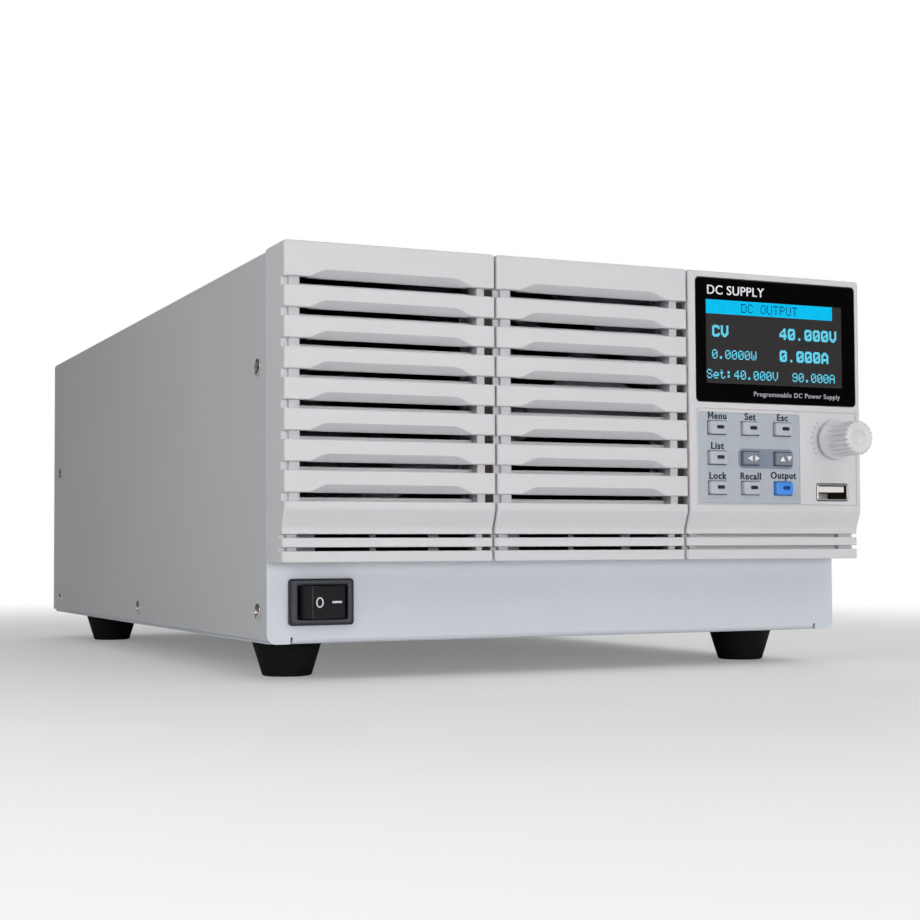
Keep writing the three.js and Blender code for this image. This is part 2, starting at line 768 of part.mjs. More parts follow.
const FANS = { left: -70, middle: 0, right: 70 }; // x of each fan
const FAN = { z: 98, size: 60, bore: 28.6, front: 341, back: 365.8 };
// Hexagonal perforation: pitch, size across flats, largest distance of a hole's centre
const HEX = { pitch: 9.8, flats: 8.4, reach: 25.6 };

const connectorBody = ({ x, z, width, height }, front, back, gap = 0) =>
  centredBox(x, z, width + 2 * gap, height + 2 * gap, front, back);

function hexHoles(fanX) {
  const radius = HEX.flats / 2 / Math.cos(Math.PI / 6);
  const holes = [];
  for (let j = -3; j <= 3; j++)
    for (let i = -3; i <= 3; i++) {
      const x = (i + (Math.abs(j) % 2) / 2) * HEX.pitch;
      const z = j * HEX.pitch * 0.866;
      if (Math.hypot(x, z) > HEX.reach) continue;
      const outline = [];
      for (let k = 0; k < 6; k++) {
        const angle = Math.PI / 6 + (k * Math.PI) / 3;
        outline.push([
          fanX + x + radius * Math.cos(angle),
          FAN.z + z + radius * Math.sin(angle),
        ]);
      }
      holes.push(prismY(outline, REAR_Y - 3, REAR_Y + 2));
    }
  return holes;
}

function rearPanel() {
  return cut(
    union(
      box(-FLANGE_X, FLANGE_X, REAR_Y - SHEET, REAR_Y, 13.6, 134.4),
      boxPair(FLANGE_X - SHEET, FLANGE_X, 340, REAR_Y - 0.4, 37, 131),
    ),
    Object.values(FANS).flatMap(hexHoles),
    CONNECTORS.map((item) => connectorBody(item, REAR_Y - 3, REAR_Y + 2, item.gap)),
    screwHoles([REAR_PANEL_SCREW], 100),
  );
}
add("rear_panel", rearPanel(), "chassis");

// ------------------------------------------------------------------ fans
const HUB_RADIUS = 11.6;
// Blade sections: [radius, half depth along Y, half of the angle spanned]
const BLADE_SECTIONS = [
  [HUB_RADIUS - 1.5, 7.2, 0.42],
  [19, 6.6, 0.36],
  [FAN.bore - 0.9, 5.6, 0.33],
];

function fanFrame(fanX) {
  const { z, size, bore, front, back } = FAN;
  // stator seat carried on four struts at the outlet side
  let frame = union(
    cut(
      roundedSlab(areaAround(fanX, z, size, size), 0, 3, front, back, 2),
      cylY(fanX, z, bore, front - 1, back + 1, 28),
    ),
    cylY(fanX, z, 12, back - 4, back, 16),
  );
  const halfStrut = 1.2;
  const holeRadius = 25 * Math.SQRT2; // corner holes from the fan's axis
  for (let k = 0; k < 4; k++) {
    const angle = Math.PI / 4 + (k * Math.PI) / 2;
    const cos = Math.cos(angle);
    const sin = Math.sin(angle);
    const at = (radius, offset) => [
      fanX + radius * cos - offset * sin,
      z + radius * sin + offset * cos,
    ];
    const strut = [at(8, -halfStrut), at(30, -halfStrut), at(30, halfStrut), at(8, halfStrut)];
    frame = cut(
      union(frame, prismY(strut, back - 2.4, back)),
      cylY(...at(holeRadius, 0), 2.1, front - 1, back + 1, 6),
    );
  }
  return cut(frame, cylY(fanX, z, 1.8, back - 5, back + 1, 8));
}

// Cup hub with seven twisted blades and a spindle in the stator seat
function fanRotor(fanX) {
  const { z, front, back } = FAN;
  let rotor = union(
    cylY(fanX, z, HUB_RADIUS, front + 1.4, back - 4.6, 18),
    cylY(fanX, z, 1.4, back - 5, back - 0.4, 6),
  );
  const bladeY = (front + back - 4) / 2 - 0.6;
  for (let k = 0; k < 7; k++) {
    const base = (k / 7) * 2 * Math.PI;
    const sections = BLADE_SECTIONS.map(([radius, half, span]) => {
      const at = (turn, y) => [
        fanX + radius * Math.cos(base + turn),
        bladeY + y,
        z + radius * Math.sin(base + turn),
      ];
      const thick = 0.75 / radius; // half thickness as an angle
      return [
        at(-span - thick, -half),
        at(-span + thick, -half),
        at(span + thick, half),
        at(span - thick, half),
      ];
    });
    rotor = union(rotor, loft(sections));
  }
  return rotor;
}
for (const [name, x] of Object.entries(FANS)) {
  add(`fan_frame_${name}`, fanFrame(x), "dark");
  add(`fan_rotor_${name}`, fanRotor(x), "dark");
}

// ------------------------------------------------------------------ rear connectors
function acInlet() {
  const { x, z } = INLET;
  const socket = [
    [x - 12.2, z + 8.2],
    [x - 12.2, z - 3.6],
    [x - 7.6, z - 8.2],
    [x + 7.6, z - 8.2],
    [x + 12.2, z - 3.6],
    [x + 12.2, z + 8.2],
  ];
  const pins = [[-7, -1.4], [7, -1.4], [0, 2.8]]; // offsets in x and z
  return cut(
    union(
      cut(
        union(
          roundedSlab(areaAround(x, z, 50, 23), 0, 4, REAR_Y, REAR_Y + 2.6, 3),
          connectorBody(INLET, 345, REAR_Y + 1),
        ),
        prismY(socket, 352, REAR_Y + 4),
      ),
      pins.map(([right, up]) => centredBox(x + right, z + up, 2.2, 4.2, 350, 366.5)),
    ),
    [-20, 20].map((offset) => cylY(x + offset, z, 1.8, REAR_Y - 1, REAR_Y + 4, 12)),
  );
}

function lanJack() {
  const { x, z } = LAN;
  return cut(
    connectorBody(LAN, 347, REAR_Y + 1),
    box(x - 5.9, x + 5.9, 355, REAR_Y + 2, z - 2.6, z + 4.6),
    box(x - 3.1, x + 3.1, 357, REAR_Y + 2, z - 4.8, z - 2),
  );
}

function usbDeviceJack() {
  const { x, z } = USB_DEVICE;
  const socket = [
    [x - 4.2, z - 3.9],
    [x + 4.2, z - 3.9],
    [x + 4.2, z + 2.2],
    [x + 2.6, z + 3.9],
    [x - 2.6, z + 3.9],
    [x - 4.2, z + 2.2],
  ];
  return union(
    cut(connectorBody(USB_DEVICE, 350, REAR_Y + 0.8), prismY(socket, 356, REAR_Y + 2)),
    centredBox(x, z, 5.6, 3.2, 355, REAR_Y - 1),
  );
}

function analogConnector() {
  const { x, z } = ANALOG;
  return cut(
    connectorBody(ANALOG, 356, REAR_Y + 3),
    centredBox(x, z, 35.2, 6.4, 361, REAR_Y + 4),
    box(x - 2.2, x + 2.2, 361, REAR_Y + 4, z + 3, z + 6),
  );
}

function senseConnector() {
  const { x, z } = SENSE;
  const pitch = 5.08;
  let connector = connectorBody(SENSE, 352, REAR_Y + 10);
  for (let k = -2; k <= 2; k++) {
    const poleZ = z + k * pitch;
    connector = cut(
      connector,
      box(x - 1.6, x + 3.4, REAR_Y + 3, REAR_Y + 11, poleZ - 1.5, poleZ + 1.5),
      cylX(REAR_Y + 5.4, poleZ, 1.5, x - 7, x - 3, 8),
    );
  }
  return connector;
}
add("ac_inlet", acInlet(), "dark");
add("lan_jack", lanJack(), "steel");
add("usb_device_jack", usbDeviceJack(), "steel");
add("analog_connector", analogConnector(), "dark");
add("sense_connector", senseConnector(), "green");

// Output terminals
const TERMINALS = { positive: OUTPUT.x - 17, negative: OUTPUT.x + 17 }; // x of each bar

function terminalBlock() {
  const { x, z, width, height } = OUTPUT;
  return cut(
    union(
      centredBox(x, z, width + 4, height + 4, REAR_Y, REAR_Y + 3),
      connectorBody(OUTPUT, 358, REAR_Y + 1),
    ),
    Object.values(TERMINALS).map((barX) => centredBox(barX, z, 22.6, 5.6, 350, REAR_Y + 5)),
  );
}

// A flat bar with a leg down at its front end and a hole near its back end
function terminal(x) {
  const { z } = OUTPUT;
  return cut(
    union(centredBox(x, z, 22, 5, 318, 394), box(x - 11, x + 11, 318, 323, 21.9, z + 1)),
    cylZ(x, 383.5, 4.4, z - 5, z + 5),
  );
}

function terminalCover() {
  const { x, z } = OUTPUT;
  const front = REAR_Y + 3.3;
  const back = REAR_MOST_Y;
  return union(
    cut(
      roundedSlab(areaAround(x, z, 72, 34), 0, 2.5, front, back, 3),
      box(x - 33.8, x + 33.8, front - 1, back - 2.2, z - 20, z + 14.8),
    ),
    // divider between the terminals
    box(x - 1.1, x + 1.1, front + 1, back - 1, z - 16.5, z + 16),
  );
}
add("terminal_block", terminalBlock(), "dark");
for (const [name, x] of Object.entries(TERMINALS)) add(`terminal_${name}`, terminal(x), "tin");
add("terminal_cover", terminalCover(), "dark");

// ------------------------------------------------------------------ boards and power parts
function powerBoard() {
  return cut(
    union(
      box(-98, 98, 42, 335, 19.9, 21.5),
      cylZ(-70, 100, 15, 21, 66), // bulk capacitors
      cylZ(-36, 100, 15, 21, 66),
      box(-92, -52, 285, 325, 21, 44), // line filter
      box(8, 40, 285, 312, 21, 40), // output choke
      box(-6, 30, 84, 116, 21, 52), // boost inductor
      cylZ(64, 290, 8, 21, 52, 16), // output capacitor
    ),
    BOARD_POSTS.map(([x, y]) => cylZ(x, y, 1.7, 15, 23, 10)),
  );
}

const SINK = { half: 94, leg: 3, footZ: 21.8, plateZ: 60, finZ: 64, topZ: 122 };
const FINS = { gaps: 18, half: 1 }; // spaces between fins, half thickness of a fin

// Finned heatsink standing on the board, fins along the air flow
function heatsink() {
  const { half, leg, footZ, plateZ, finZ, topZ } = SINK;
  const pitch = (2 * half - 2 * FINS.half) / FINS.gaps;
  const outline = [
    [-half, footZ],
    [-half + leg, footZ],
    [-half + leg, plateZ],
    [half - leg, plateZ],
    [half - leg, footZ],
    [half, footZ],
  ];
  for (let k = FINS.gaps; k >= 0; k--) {
    const x = -half + FINS.half + pitch * k;
    if (k < FINS.gaps) outline.push([x + FINS.half, finZ]);
    outline.push([x + FINS.half, topZ], [x - FINS.half, topZ]);
    if (k > 0) outline.push([x - FINS.half, finZ]);
  }
  return prismY(outline, 150, 270);
}
add("power_board", powerBoard(), "board");
add("heatsink", heatsink(), "alloy");
add(
  "transformer",
  union(box(-28, 28, 172, 228, 21.8, 30), box(-22, 22, 176, 224, 29, 54)),
  "copper",
);

// Front board carrying the key switches
function frontBoard() {
  const switches = KEY_CENTRES.flatMap(([x, z]) => [
    centredBox(x, z, 6, 4, 6.6, 9.6),
    cylY(x, z, 1, 6.1, 7, 6),
  ]);
  return cut(
    union(box(39.5, 103.6, 9.4, 11, 52, 131), switches),
    box(86.5, 102.5, 8, 12, 56.5, 65.2),
  );
}
add("front_board", frontBoard(), "board");

// Flat cable from the front board down to the power board, as [y, z]
const CABLE_PROFILE = [
  [11.3, 96],
  [46.2, 96],
  [46.2, 22],
  [45.2, 22],
  [45.2, 95],
  [12.3, 95],
  [12.3, 92],
  [11.3, 92],
];
add("front_panel_cable", prismX(CABLE_PROFILE, 56, 86), "grey");

export default group;
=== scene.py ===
# Looks for a half-rack programmable DC bench power supply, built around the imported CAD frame.
import math

import bmesh
import bpy
from mathutils import Matrix, Vector


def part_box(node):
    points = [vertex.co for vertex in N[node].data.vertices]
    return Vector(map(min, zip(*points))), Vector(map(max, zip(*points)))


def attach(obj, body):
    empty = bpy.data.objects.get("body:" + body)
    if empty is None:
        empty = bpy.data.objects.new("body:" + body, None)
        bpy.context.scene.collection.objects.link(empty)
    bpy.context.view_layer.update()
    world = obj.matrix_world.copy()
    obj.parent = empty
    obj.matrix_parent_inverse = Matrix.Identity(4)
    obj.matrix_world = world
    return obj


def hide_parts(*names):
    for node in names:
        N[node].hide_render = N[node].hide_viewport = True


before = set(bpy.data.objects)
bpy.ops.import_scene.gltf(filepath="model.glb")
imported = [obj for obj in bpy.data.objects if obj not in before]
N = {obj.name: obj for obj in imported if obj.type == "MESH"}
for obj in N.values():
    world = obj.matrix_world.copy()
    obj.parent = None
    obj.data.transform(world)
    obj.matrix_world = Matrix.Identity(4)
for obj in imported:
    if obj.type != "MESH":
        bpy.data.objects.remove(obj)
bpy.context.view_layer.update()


MM = 0.001
sc = bpy.context.scene


def box_mm(node):
    lo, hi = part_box(node)
    return [c / MM for c in lo], [c / MM for c in hi]


# The drawing's front plane: the grilles' lowest Y.
Y0 = box_mm("grille_left")[0][1]


def W(x, y, z):
    """A point given in mm with y counted from the bezel front plane."""
    return Vector((x * MM, (y + Y0) * MM, z * MM))


# ------------------------------------------------------------------ materials
def srgb(r, g, b):
    out = []
    for c in (r, g, b):
        c /= 255.0
        out.append(c / 12.92 if c <= 0.04045 else ((c + 0.055) / 1.055) ** 2.4)
    return tuple(out) + (1.0,)


class Mat:
    """A small builder for procedural materials in object space."""

    def __init__(self, name, soft=0.0):
        self.m = bpy.data.materials.new(name)
        self.m.use_nodes = True
        self.t = self.m.node_tree
        self.p = self.t.nodes["Principled BSDF"]
        self.coord = self.t.nodes.new("ShaderNodeTexCoord")
        self.height = None
        if soft:
            # rounds the sheen of moulded edges
            bv = self.t.nodes.new("ShaderNodeBevel")
            bv.samples = 4
            bv.inputs["Radius"].default_value = soft * MM
            self.height = bv.outputs["Normal"]
            self.t.links.new(self.height, self.p.inputs["Normal"])

    def n(self, kind, **kw):
        node = self.t.nodes.new(kind)
        for k, v in kw.items():
            setattr(node, k, v)
        return node

    def link(self, a, b):
        self.t.links.new(a, b)

    def set(self, **kw):
        names = {
            "color": "Base Color",
            "rough": "Roughness",
            "metal": "Metallic",
            "spec": "Specular IOR Level",
            "coat": "Coat Weight",
            "coat_rough": "Coat Roughness",
            "sheen": "Sheen Weight",
            "sheen_rough": "Sheen Roughness",
            "sss": "Subsurface Weight",
            "sss_scale": "Subsurface Scale",
            "aniso": "Anisotropic",
            "emit": "Emission Color",
            "emit_s": "Emission Strength",
            "trans": "Transmission Weight",
            "ior": "IOR",
        }
        for k, v in kw.items():
            self.p.inputs[names[k]].default_value = v
        return self

    def mapped(self, scale=(1, 1, 1), rot=(0, 0, 0)):
        mp = self.n("ShaderNodeMapping")
        mp.inputs["Scale"].default_value = scale
        mp.inputs["Rotation"].default_value = rot
        self.link(self.coord.outputs["Object"], mp.inputs["Vector"])
        return mp.outputs["Vector"]

    def noise(self, size_mm, detail=2.0, rough=0.5, stretch=(1, 1, 1), distort=0.0):
        nz = self.n("ShaderNodeTexNoise")
        nz.inputs["Scale"].default_value = 1.0
        nz.inputs["Detail"].default_value = detail
        nz.inputs["Roughness"].default_value = rough
        nz.inputs["Distortion"].default_value = distort
        k = 1.0 / (size_mm * MM)
        self.link(
            self.mapped((k / stretch[0], k / stretch[1], k / stretch[2])),
            nz.inputs["Vector"],
        )
        return nz.outputs["Fac"]

    def voronoi(self, size_mm, feature="SMOOTH_F1"):
        v = self.n("ShaderNodeTexVoronoi", feature=feature)
        v.inputs["Scale"].default_value = 1.0
        k = 1.0 / (size_mm * MM)
        self.link(self.mapped((k, k, k)), v.inputs["Vector"])
        return v.outputs["Distance"]

    def ramp(self, fac, lo, hi, a=0.0, b=1.0):
        r = self.n("ShaderNodeMapRange")
        r.inputs["From Min"].default_value = lo
        r.inputs["From Max"].default_value = hi
        r.inputs["To Min"].default_value = a
        r.inputs["To Max"].default_value = b
        self.link(fac, r.inputs["Value"])
        return r.outputs["Result"]

    def mix_color(self, fac, a, b):
        mx = self.n("ShaderNodeMix", data_type="RGBA")
        for sock, v in ((mx.inputs[6], a), (mx.inputs[7], b)):
            if isinstance(v, tuple):
                sock.default_value = v
            else:
                self.link(v, sock)
        if isinstance(fac, float):
            mx.inputs[0].default_value = fac
        else:
            self.link(fac, mx.inputs[0])
        return mx.outputs[2]

    def math(self, op, a, b=None, clamp=False):
        mt = self.n("ShaderNodeMath", operation=op, use_clamp=clamp)
        for i, v in enumerate((a, b)):
            if v is None:
                continue
            if isinstance(v, (int, float)):
                mt.inputs[i].default_value = v
            else:
                self.link(v, mt.inputs[i])
        return mt.outputs[0]

    def bump(self, fac, depth_mm, strength=1.0):
        b = self.n("ShaderNodeBump")
        b.inputs["Distance"].default_value = depth_mm * MM
        b.inputs["Strength"].default_value = strength
        self.link(fac, b.inputs["Height"])
        if self.height is not None:
            self.link(self.height, b.inputs["Normal"])
        self.height = b.outputs["Normal"]
        self.link(self.height, self.p.inputs["Normal"])
        return self

    def color_from(self, out):
        self.link(out, self.p.inputs["Base Color"])
        return self

    def rough_from(self, out):
        self.link(out, self.p.inputs["Roughness"])
        return self


def vary(c, k):
    return tuple(min(1.0, v * k) for v in c[:3]) + (1.0,)


def moulded(name, color, rough=0.5, grain_mm=0.35, grain_depth=0.012, spec=0.45, var=0.03, blotch=18, coat=0.0, soft=0.0):
    """Moulded plastic with a spark-eroded grain and a faint unevenness of colour and gloss."""
    m = Mat(name, soft).set(color=color, rough=rough, spec=spec, coat=coat, coat_rough=0.25)
    big = m.noise(blotch, 3, 0.55)
    m.color_from(m.mix_color(m.ramp(big, 0.3, 0.7), vary(color, 1 - var), vary(color, 1 + var)))
    fine = m.noise(grain_mm, 2, 0.6)
    mid = m.noise(grain_mm * 9, 3, 0.6)
    m.rough_from(
        m.math("ADD", m.ramp(fine, 0.3, 0.7, rough - 0.05, rough + 0.05), m.ramp(mid, 0.3, 0.7, -0.03, 0.03))
    )
    m.bump(mid, grain_depth * 0.8, 0.5)
    m.bump(fine, grain_depth, 0.8)
    return m.m


def powder(name, color, rough=0.55, cell=0.55, depth=0.02, var=0.02, soft=0.0):
    """Powder coat: orange peel, tiny pits and a trace of dust in the film."""
    m = Mat(name, soft).set(color=color, rough=rough, spec=0.4, coat=0.08, coat_rough=0.4)
    big = m.noise(60, 2, 0.5)
    speck = m.noise(0.22, 1, 0.5)
    base = m.mix_color(m.ramp(big, 0.3, 0.7), vary(color, 1 - var), vary(color, 1 + var))
    m.color_from(m.mix_color(m.ramp(speck, 0.62, 0.8, 0, 0.25), base, vary(color, 0.82)))
    peel = m.voronoi(cell)
    fine = m.noise(0.18, 2, 0.6)
    m.rough_from(m.ramp(fine, 0.3, 0.7, rough - 0.07, rough + 0.07))
    m.bump(peel, depth, 0.55)
    m.bump(fine, depth * 0.35, 0.7)
    return m.m


def metal(name, color, rough=0.3, stretch=(1, 1, 1), line=0.05, depth=0.003):
    """Machined or drawn metal with fine lines along one axis."""
    m = Mat(name).set(color=color, rough=rough, metal=1.0)
    lines = m.noise(line, 2, 0.6, stretch=stretch)
    stain = m.noise(6, 3, 0.6)
    m.color_from(m.mix_color(m.ramp(stain, 0.35, 0.75), color, vary(color, 0.86)))
    m.rough_from(m.math("ADD", m.ramp(lines, 0.3, 0.7, rough - 0.08, rough + 0.1), m.ramp(stain, 0.3, 0.7, -0.03, 0.05)))
    m.bump(lines, depth, 0.6)
    return m.m


M = {}
M["bezel"] = moulded("mat_bezel_abs", srgb(218, 217, 220), 0.47, 0.30, 0.010, var=0.012, blotch=30, soft=0.35)
M["cover"] = powder("mat_cover_powder_coat", srgb(204, 205, 208), 0.55, 0.6, 0.018)
M["chassis"] = powder("mat_chassis_powder_coat", srgb(216, 221, 228), 0.5, 0.6, 0.016)
M["keypad"] = moulded("mat_keypad_plate", srgb(182, 189, 197), 0.42, 0.22, 0.006, var=0.015)
M["arrowpad"] = moulded("mat_arrow_surround", srgb(131, 141, 160), 0.42, 0.22, 0.006, var=0.015)
M["key"] = moulded("mat_key_caps", srgb(187, 190, 198), 0.4, 0.22, 0.005, var=0.01, spec=0.5)
M["arrowkey"] = moulded("mat_arrow_caps", srgb(124, 130, 143), 0.4, 0.22, 0.005, var=0.01, spec=0.5)
M["rubber"] = moulded("mat_foot_rubber", srgb(15, 16, 19), 0.75, 0.5, 0.02, spec=0.2, var=0.15)
M["switch"] = moulded("mat_switch_plastic", srgb(38, 39, 52), 0.4, 0.25, 0.006, spec=0.4, var=0.06)
M["rocker"] = moulded("mat_rocker_plastic", srgb(16, 18, 23), 0.32, 0.25, 0.004, spec=0.35, var=0.06)
# dark brown for the strips set deep in the module seams: painted shade for the gaps
M["seal"] = moulded("mat_seam_seal", srgb(66, 58, 54), 0.8, 0.3, 0.02, spec=0.15, var=0.12)
M["fan"] = moulded("mat_fan_plastic", srgb(28, 28, 30), 0.45, 0.4, 0.01, var=0.1)
M["insulator"] = moulded("mat_insulator", srgb(30, 31, 33), 0.42, 0.35, 0.01, var=0.1)
M["amber"] = moulded("mat_lamp_amber", srgb(212, 150, 50), 0.3, 0.2, 0.003, var=0.05)
M["green"] = moulded("mat_terminal_green", srgb(48, 138, 84), 0.4, 0.3, 0.008, var=0.05)
# darker brown metal for the socket's deep inner faces: painted shade inside the socket
M["socket_dark"] = metal("mat_socket_inside_painted_shade", srgb(74, 64, 54), 0.42, (1, 14, 1))
M["white_plastic"] = moulded("mat_socket_tongue", srgb(246, 245, 241), 0.4, 0.2, 0.005, var=0.03)
M["core"] = moulded("mat_ferrite", srgb(62, 61, 63), 0.6, 0.25, 0.02, var=0.12)
M["cable"] = moulded("mat_cable", srgb(148, 150, 154), 0.5, 0.3, 0.01, var=0.06)
M["steel"] = metal("mat_plated_steel", srgb(205, 204, 203), 0.24, (1, 14, 1))
M["screw"] = metal("mat_screw_nickel", srgb(214, 213, 211), 0.2, (1, 1, 1), 0.12, 0.004)
M["tin"] = metal("mat_tinned_bar", srgb(206, 205, 198), 0.3, (1, 20, 1), 0.08)
M["alu"] = metal("mat_aluminium", srgb(190, 192, 196), 0.34, (1, 30, 1), 0.09)
M["gold"] = metal("mat_gold_contact", srgb(222, 178, 90), 0.22, (1, 8, 1))
M["zinc"] = metal("mat_zinc", srgb(190, 192, 190), 0.3, (1, 1, 1), 0.4)


def knob_material():
    color = srgb(226, 226, 228)
    m = Mat("mat_knob").set(color=color, rough=0.38, spec=0.5, sss=0.12, sss_scale=0.0008)
    m.p.inputs["Subsurface Radius"].default_value = (1.0, 1.0, 1.0)
    big = m.noise(7, 2, 0.5)
    m.color_from(m.mix_color(m.ramp(big, 0.3, 0.7), vary(color, 0.985), vary(color, 1.01)))
    fine = m.noise(0.25, 2, 0.6)
    m.rough_from(m.ramp(fine, 0.3, 0.7, 0.32, 0.44))
    m.bump(fine, 0.005, 0.6)
    return m.m


def blue_key_material():
    color = srgb(64, 146, 232)
    m = Mat("mat_output_key").set(color=color, rough=0.3, spec=0.5, sss=0.25, sss_scale=0.001)
    big = m.noise(3, 2, 0.5)
    m.color_from(m.mix_color(m.ramp(big, 0.3, 0.7), vary(color, 0.93), vary(color, 1.05)))
    # a faint painted glow lifts the cap's blue; the cap has no lamp of its own
    m.set(emit=srgb(40, 130, 235), emit_s=0.04)
    fine = m.noise(0.22, 2, 0.6)
    m.rough_from(m.ramp(fine, 0.3, 0.7, 0.26, 0.36))
    m.bump(fine, 0.004, 0.5)
    return m.m


def glass_material():
    """Black back-printed window: deep gloss with faint wipe marks."""
    m = Mat("mat_window_gloss").set(color=srgb(8, 8, 9), rough=0.06, spec=0.45)
    smear = m.noise(22, 4, 0.65, stretch=(3, 1, 1), distort=0.6)
    m.rough_from(m.ramp(smear, 0.35, 0.8, 0.045, 0.12))
    spk = m.noise(0.5, 1, 0.5)
    m.color_from(m.mix_color(m.ramp(spk, 0.66, 0.8, 0, 0.06), srgb(8, 8, 9), srgb(80, 80, 84)))
    return m.m


def glow(name, color, strength, base=(6, 8, 10), rough=0.08, cells=0.0):
    m = Mat(name).set(color=srgb(*base), rough=rough, spec=0.45)
    e = srgb(*color)
    fac = m.noise(1.4, 2, 0.5)
    out = m.mix_color(m.ramp(fac, 0.3, 0.7), vary(e, 0.92), vary(e, 1.04))
    if cells:
        # the display's dot grid, faint between neighbouring dots
        w = m.n("ShaderNodeTexWave", wave_type="BANDS", bands_direction="X")
        w.inputs["Scale"].default_value = 1.0
        k = math.tau / (cells * MM) / 20.0
        m.link(m.mapped((k, k, k)), w.inputs["Vector"])
        out = m.mix_color(m.ramp(w.outputs["Fac"], 0.0, 0.5, 0.28, 0.0), out, vary(e, 0.55))
    m.link(out, m.p.inputs["Emission Color"])
    m.set(emit_s=strength)
    return m.m


def pcb_material():
    m = Mat("mat_board").set(color=srgb(24, 88, 58), rough=0.35, spec=0.5, coat=0.3, coat_rough=0.15)
    tr = m.n("ShaderNodeTexBrick")
    tr.inputs["Scale"].default_value = 1.0
    tr.inputs["Mortar Size"].default_value = 0.03
    tr.inputs["Color1"].default_value = srgb(22, 84, 55)
    tr.inputs["Color2"].default_value = srgb(28, 100, 66)
    tr.inputs["Mortar"].default_value = srgb(44, 128, 84)
    m.link(m.mapped((220, 220, 220)), tr.inputs["Vector"])
    m.color_from(tr.outputs["Color"])
    m.bump(m.noise(0.4, 2, 0.5), 0.01, 0.4)
    return m.m


def ink(name, color, rough=0.5):
    m = Mat(name).set(color=srgb(*color), rough=rough, spec=0.35)
    fac = m.noise(0.5, 2, 0.6)
    c = srgb(*color)
    m.color_from(m.mix_color(m.ramp(fac, 0.3, 0.7), vary(c, 0.9), vary(c, 1.1)))
    return m.m


M["knob"] = knob_material()
M["bluekey"] = blue_key_material()
M["glass"] = glass_material()
M["pcb"] = pcb_material()
M["ink_dark"] = ink("mat_legend_dark", (38, 42, 52))
M["ink_white"] = ink("mat_legend_white", (236, 238, 242))
M["ink_pale"] = ink("mat_legend_pale", (176, 180, 190))
M["ink_red"] = ink("mat_legend_red", (190, 40, 36))
M["ink_faint"] = ink("mat_legend_faint", (190, 192, 198))
M["lamp"] = ink("mat_lamp_lens", (46, 50, 64), 0.18)
M["lamp_blue"] = ink("mat_lamp_lens_blue", (18, 74, 152), 0.18)
M["screen"] = glow("mat_screen_ground", (52, 50, 50), 1.0)
M["bar"] = glow("mat_screen_bar", (10, 196, 246), 1.0, cells=0.44)
M["dots"] = glow("mat_screen_dots", (104, 218, 246), 1.05)
M["bar_text"] = glow("mat_screen_bar_text", (6, 70, 112), 1.0)


# ------------------------------------------------------------------ mesh helpers
def link_obj(name, mesh, mat, body, smooth=False):
    o = bpy.data.objects.new(name, mesh)
    sc.collection.objects.link(o)
    if mat is not None:
        mesh.materials.append(mat)
    if smooth:
        mesh.polygons.foreach_set("use_smooth", [True] * len(mesh.polygons))
    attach(o, body)
    return o


def from_bm(name, bm, mat, body, smooth=False):
    bmesh.ops.recalc_face_normals(bm, faces=bm.faces)
    me = bpy.data.meshes.new(name)
    bm.to_mesh(me)
    bm.free()
    return link_obj(name, me, mat, body, smooth)


def loops_to_bm(loops, cap_first=True, cap_last=True, closed_ring=False):
    """A skin through a row of closed loops of equal length."""
    bm = bmesh.new()
    rings = [[bm.verts.new(p) for p in lp] for lp in loops]
    n = len(rings[0])
    pairs = list(zip(rings, rings[1:]))
    if closed_ring:
        pairs.append((rings[-1], rings[0]))
    for a, b in pairs:
        for i in range(n):
            j = (i + 1) % n
            bm.faces.new((a[i], a[j], b[j], b[i]))
    if cap_first and not closed_ring:
        bm.faces.new(rings[0])
    if cap_last and not closed_ring:
        bm.faces.new(rings[-1])
    return bm


def rrect(x0, x1, z0, z1, r, seg=6):
    """A rounded rectangle as (x, z) points."""
    pts = []
    for cx, cz, a0 in ((x1 - r, z0 + r, -90), (x1 - r, z1 - r, 0), (x0 + r, z1 - r, 90), (x0 + r, z0 + r, 180)):
        for i in range(seg + 1):
            a = math.radians(a0 + 90 * i / seg)
            pts.append((cx + r * math.cos(a), cz + r * math.sin(a)))
    return pts


def plate(name, rect, r, y_front, y_back, mat, body, edge=0.1, seg=6):
    """A plate facing the front with a rounded outline and an eased front edge."""
    x0, x1, z0, z1 = rect
    loops = []
    for inset, y in ((0, y_back), (0, y_front + edge), (edge * 0.3, y_front + edge * 0.3), (edge, y_front)):
        rr = max(0.02, r - inset)
        loops.append([W(x, y, z) for x, z in rrect(x0 + inset, x1 - inset, z0 + inset, z1 - inset, rr, seg)])
    return from_bm(name, loops_to_bm(loops), mat, body)


def text_mesh(text, height, align, squeeze, thick, bold, spacing):
    cu = bpy.data.curves.new("lettering", "FONT")
    cu.body = text
    cu.align_x = align
    cu.size = height * MM / 0.72
    cu.extrude = thick * MM
    cu.offset = bold * MM
    cu.space_character = spacing
    cu.resolution_u = 6
    tmp = bpy.data.objects.new("lettering", cu)
    sc.collection.objects.link(tmp)
    bpy.context.view_layer.update()
    dg = bpy.context.evaluated_depsgraph_get()
    me = bpy.data.meshes.new_from_object(tmp.evaluated_get(dg))
    bpy.data.objects.remove(tmp)
    me.transform(Matrix.Diagonal((squeeze, 1, 1, 1)))
    me.materials.clear()
    return me


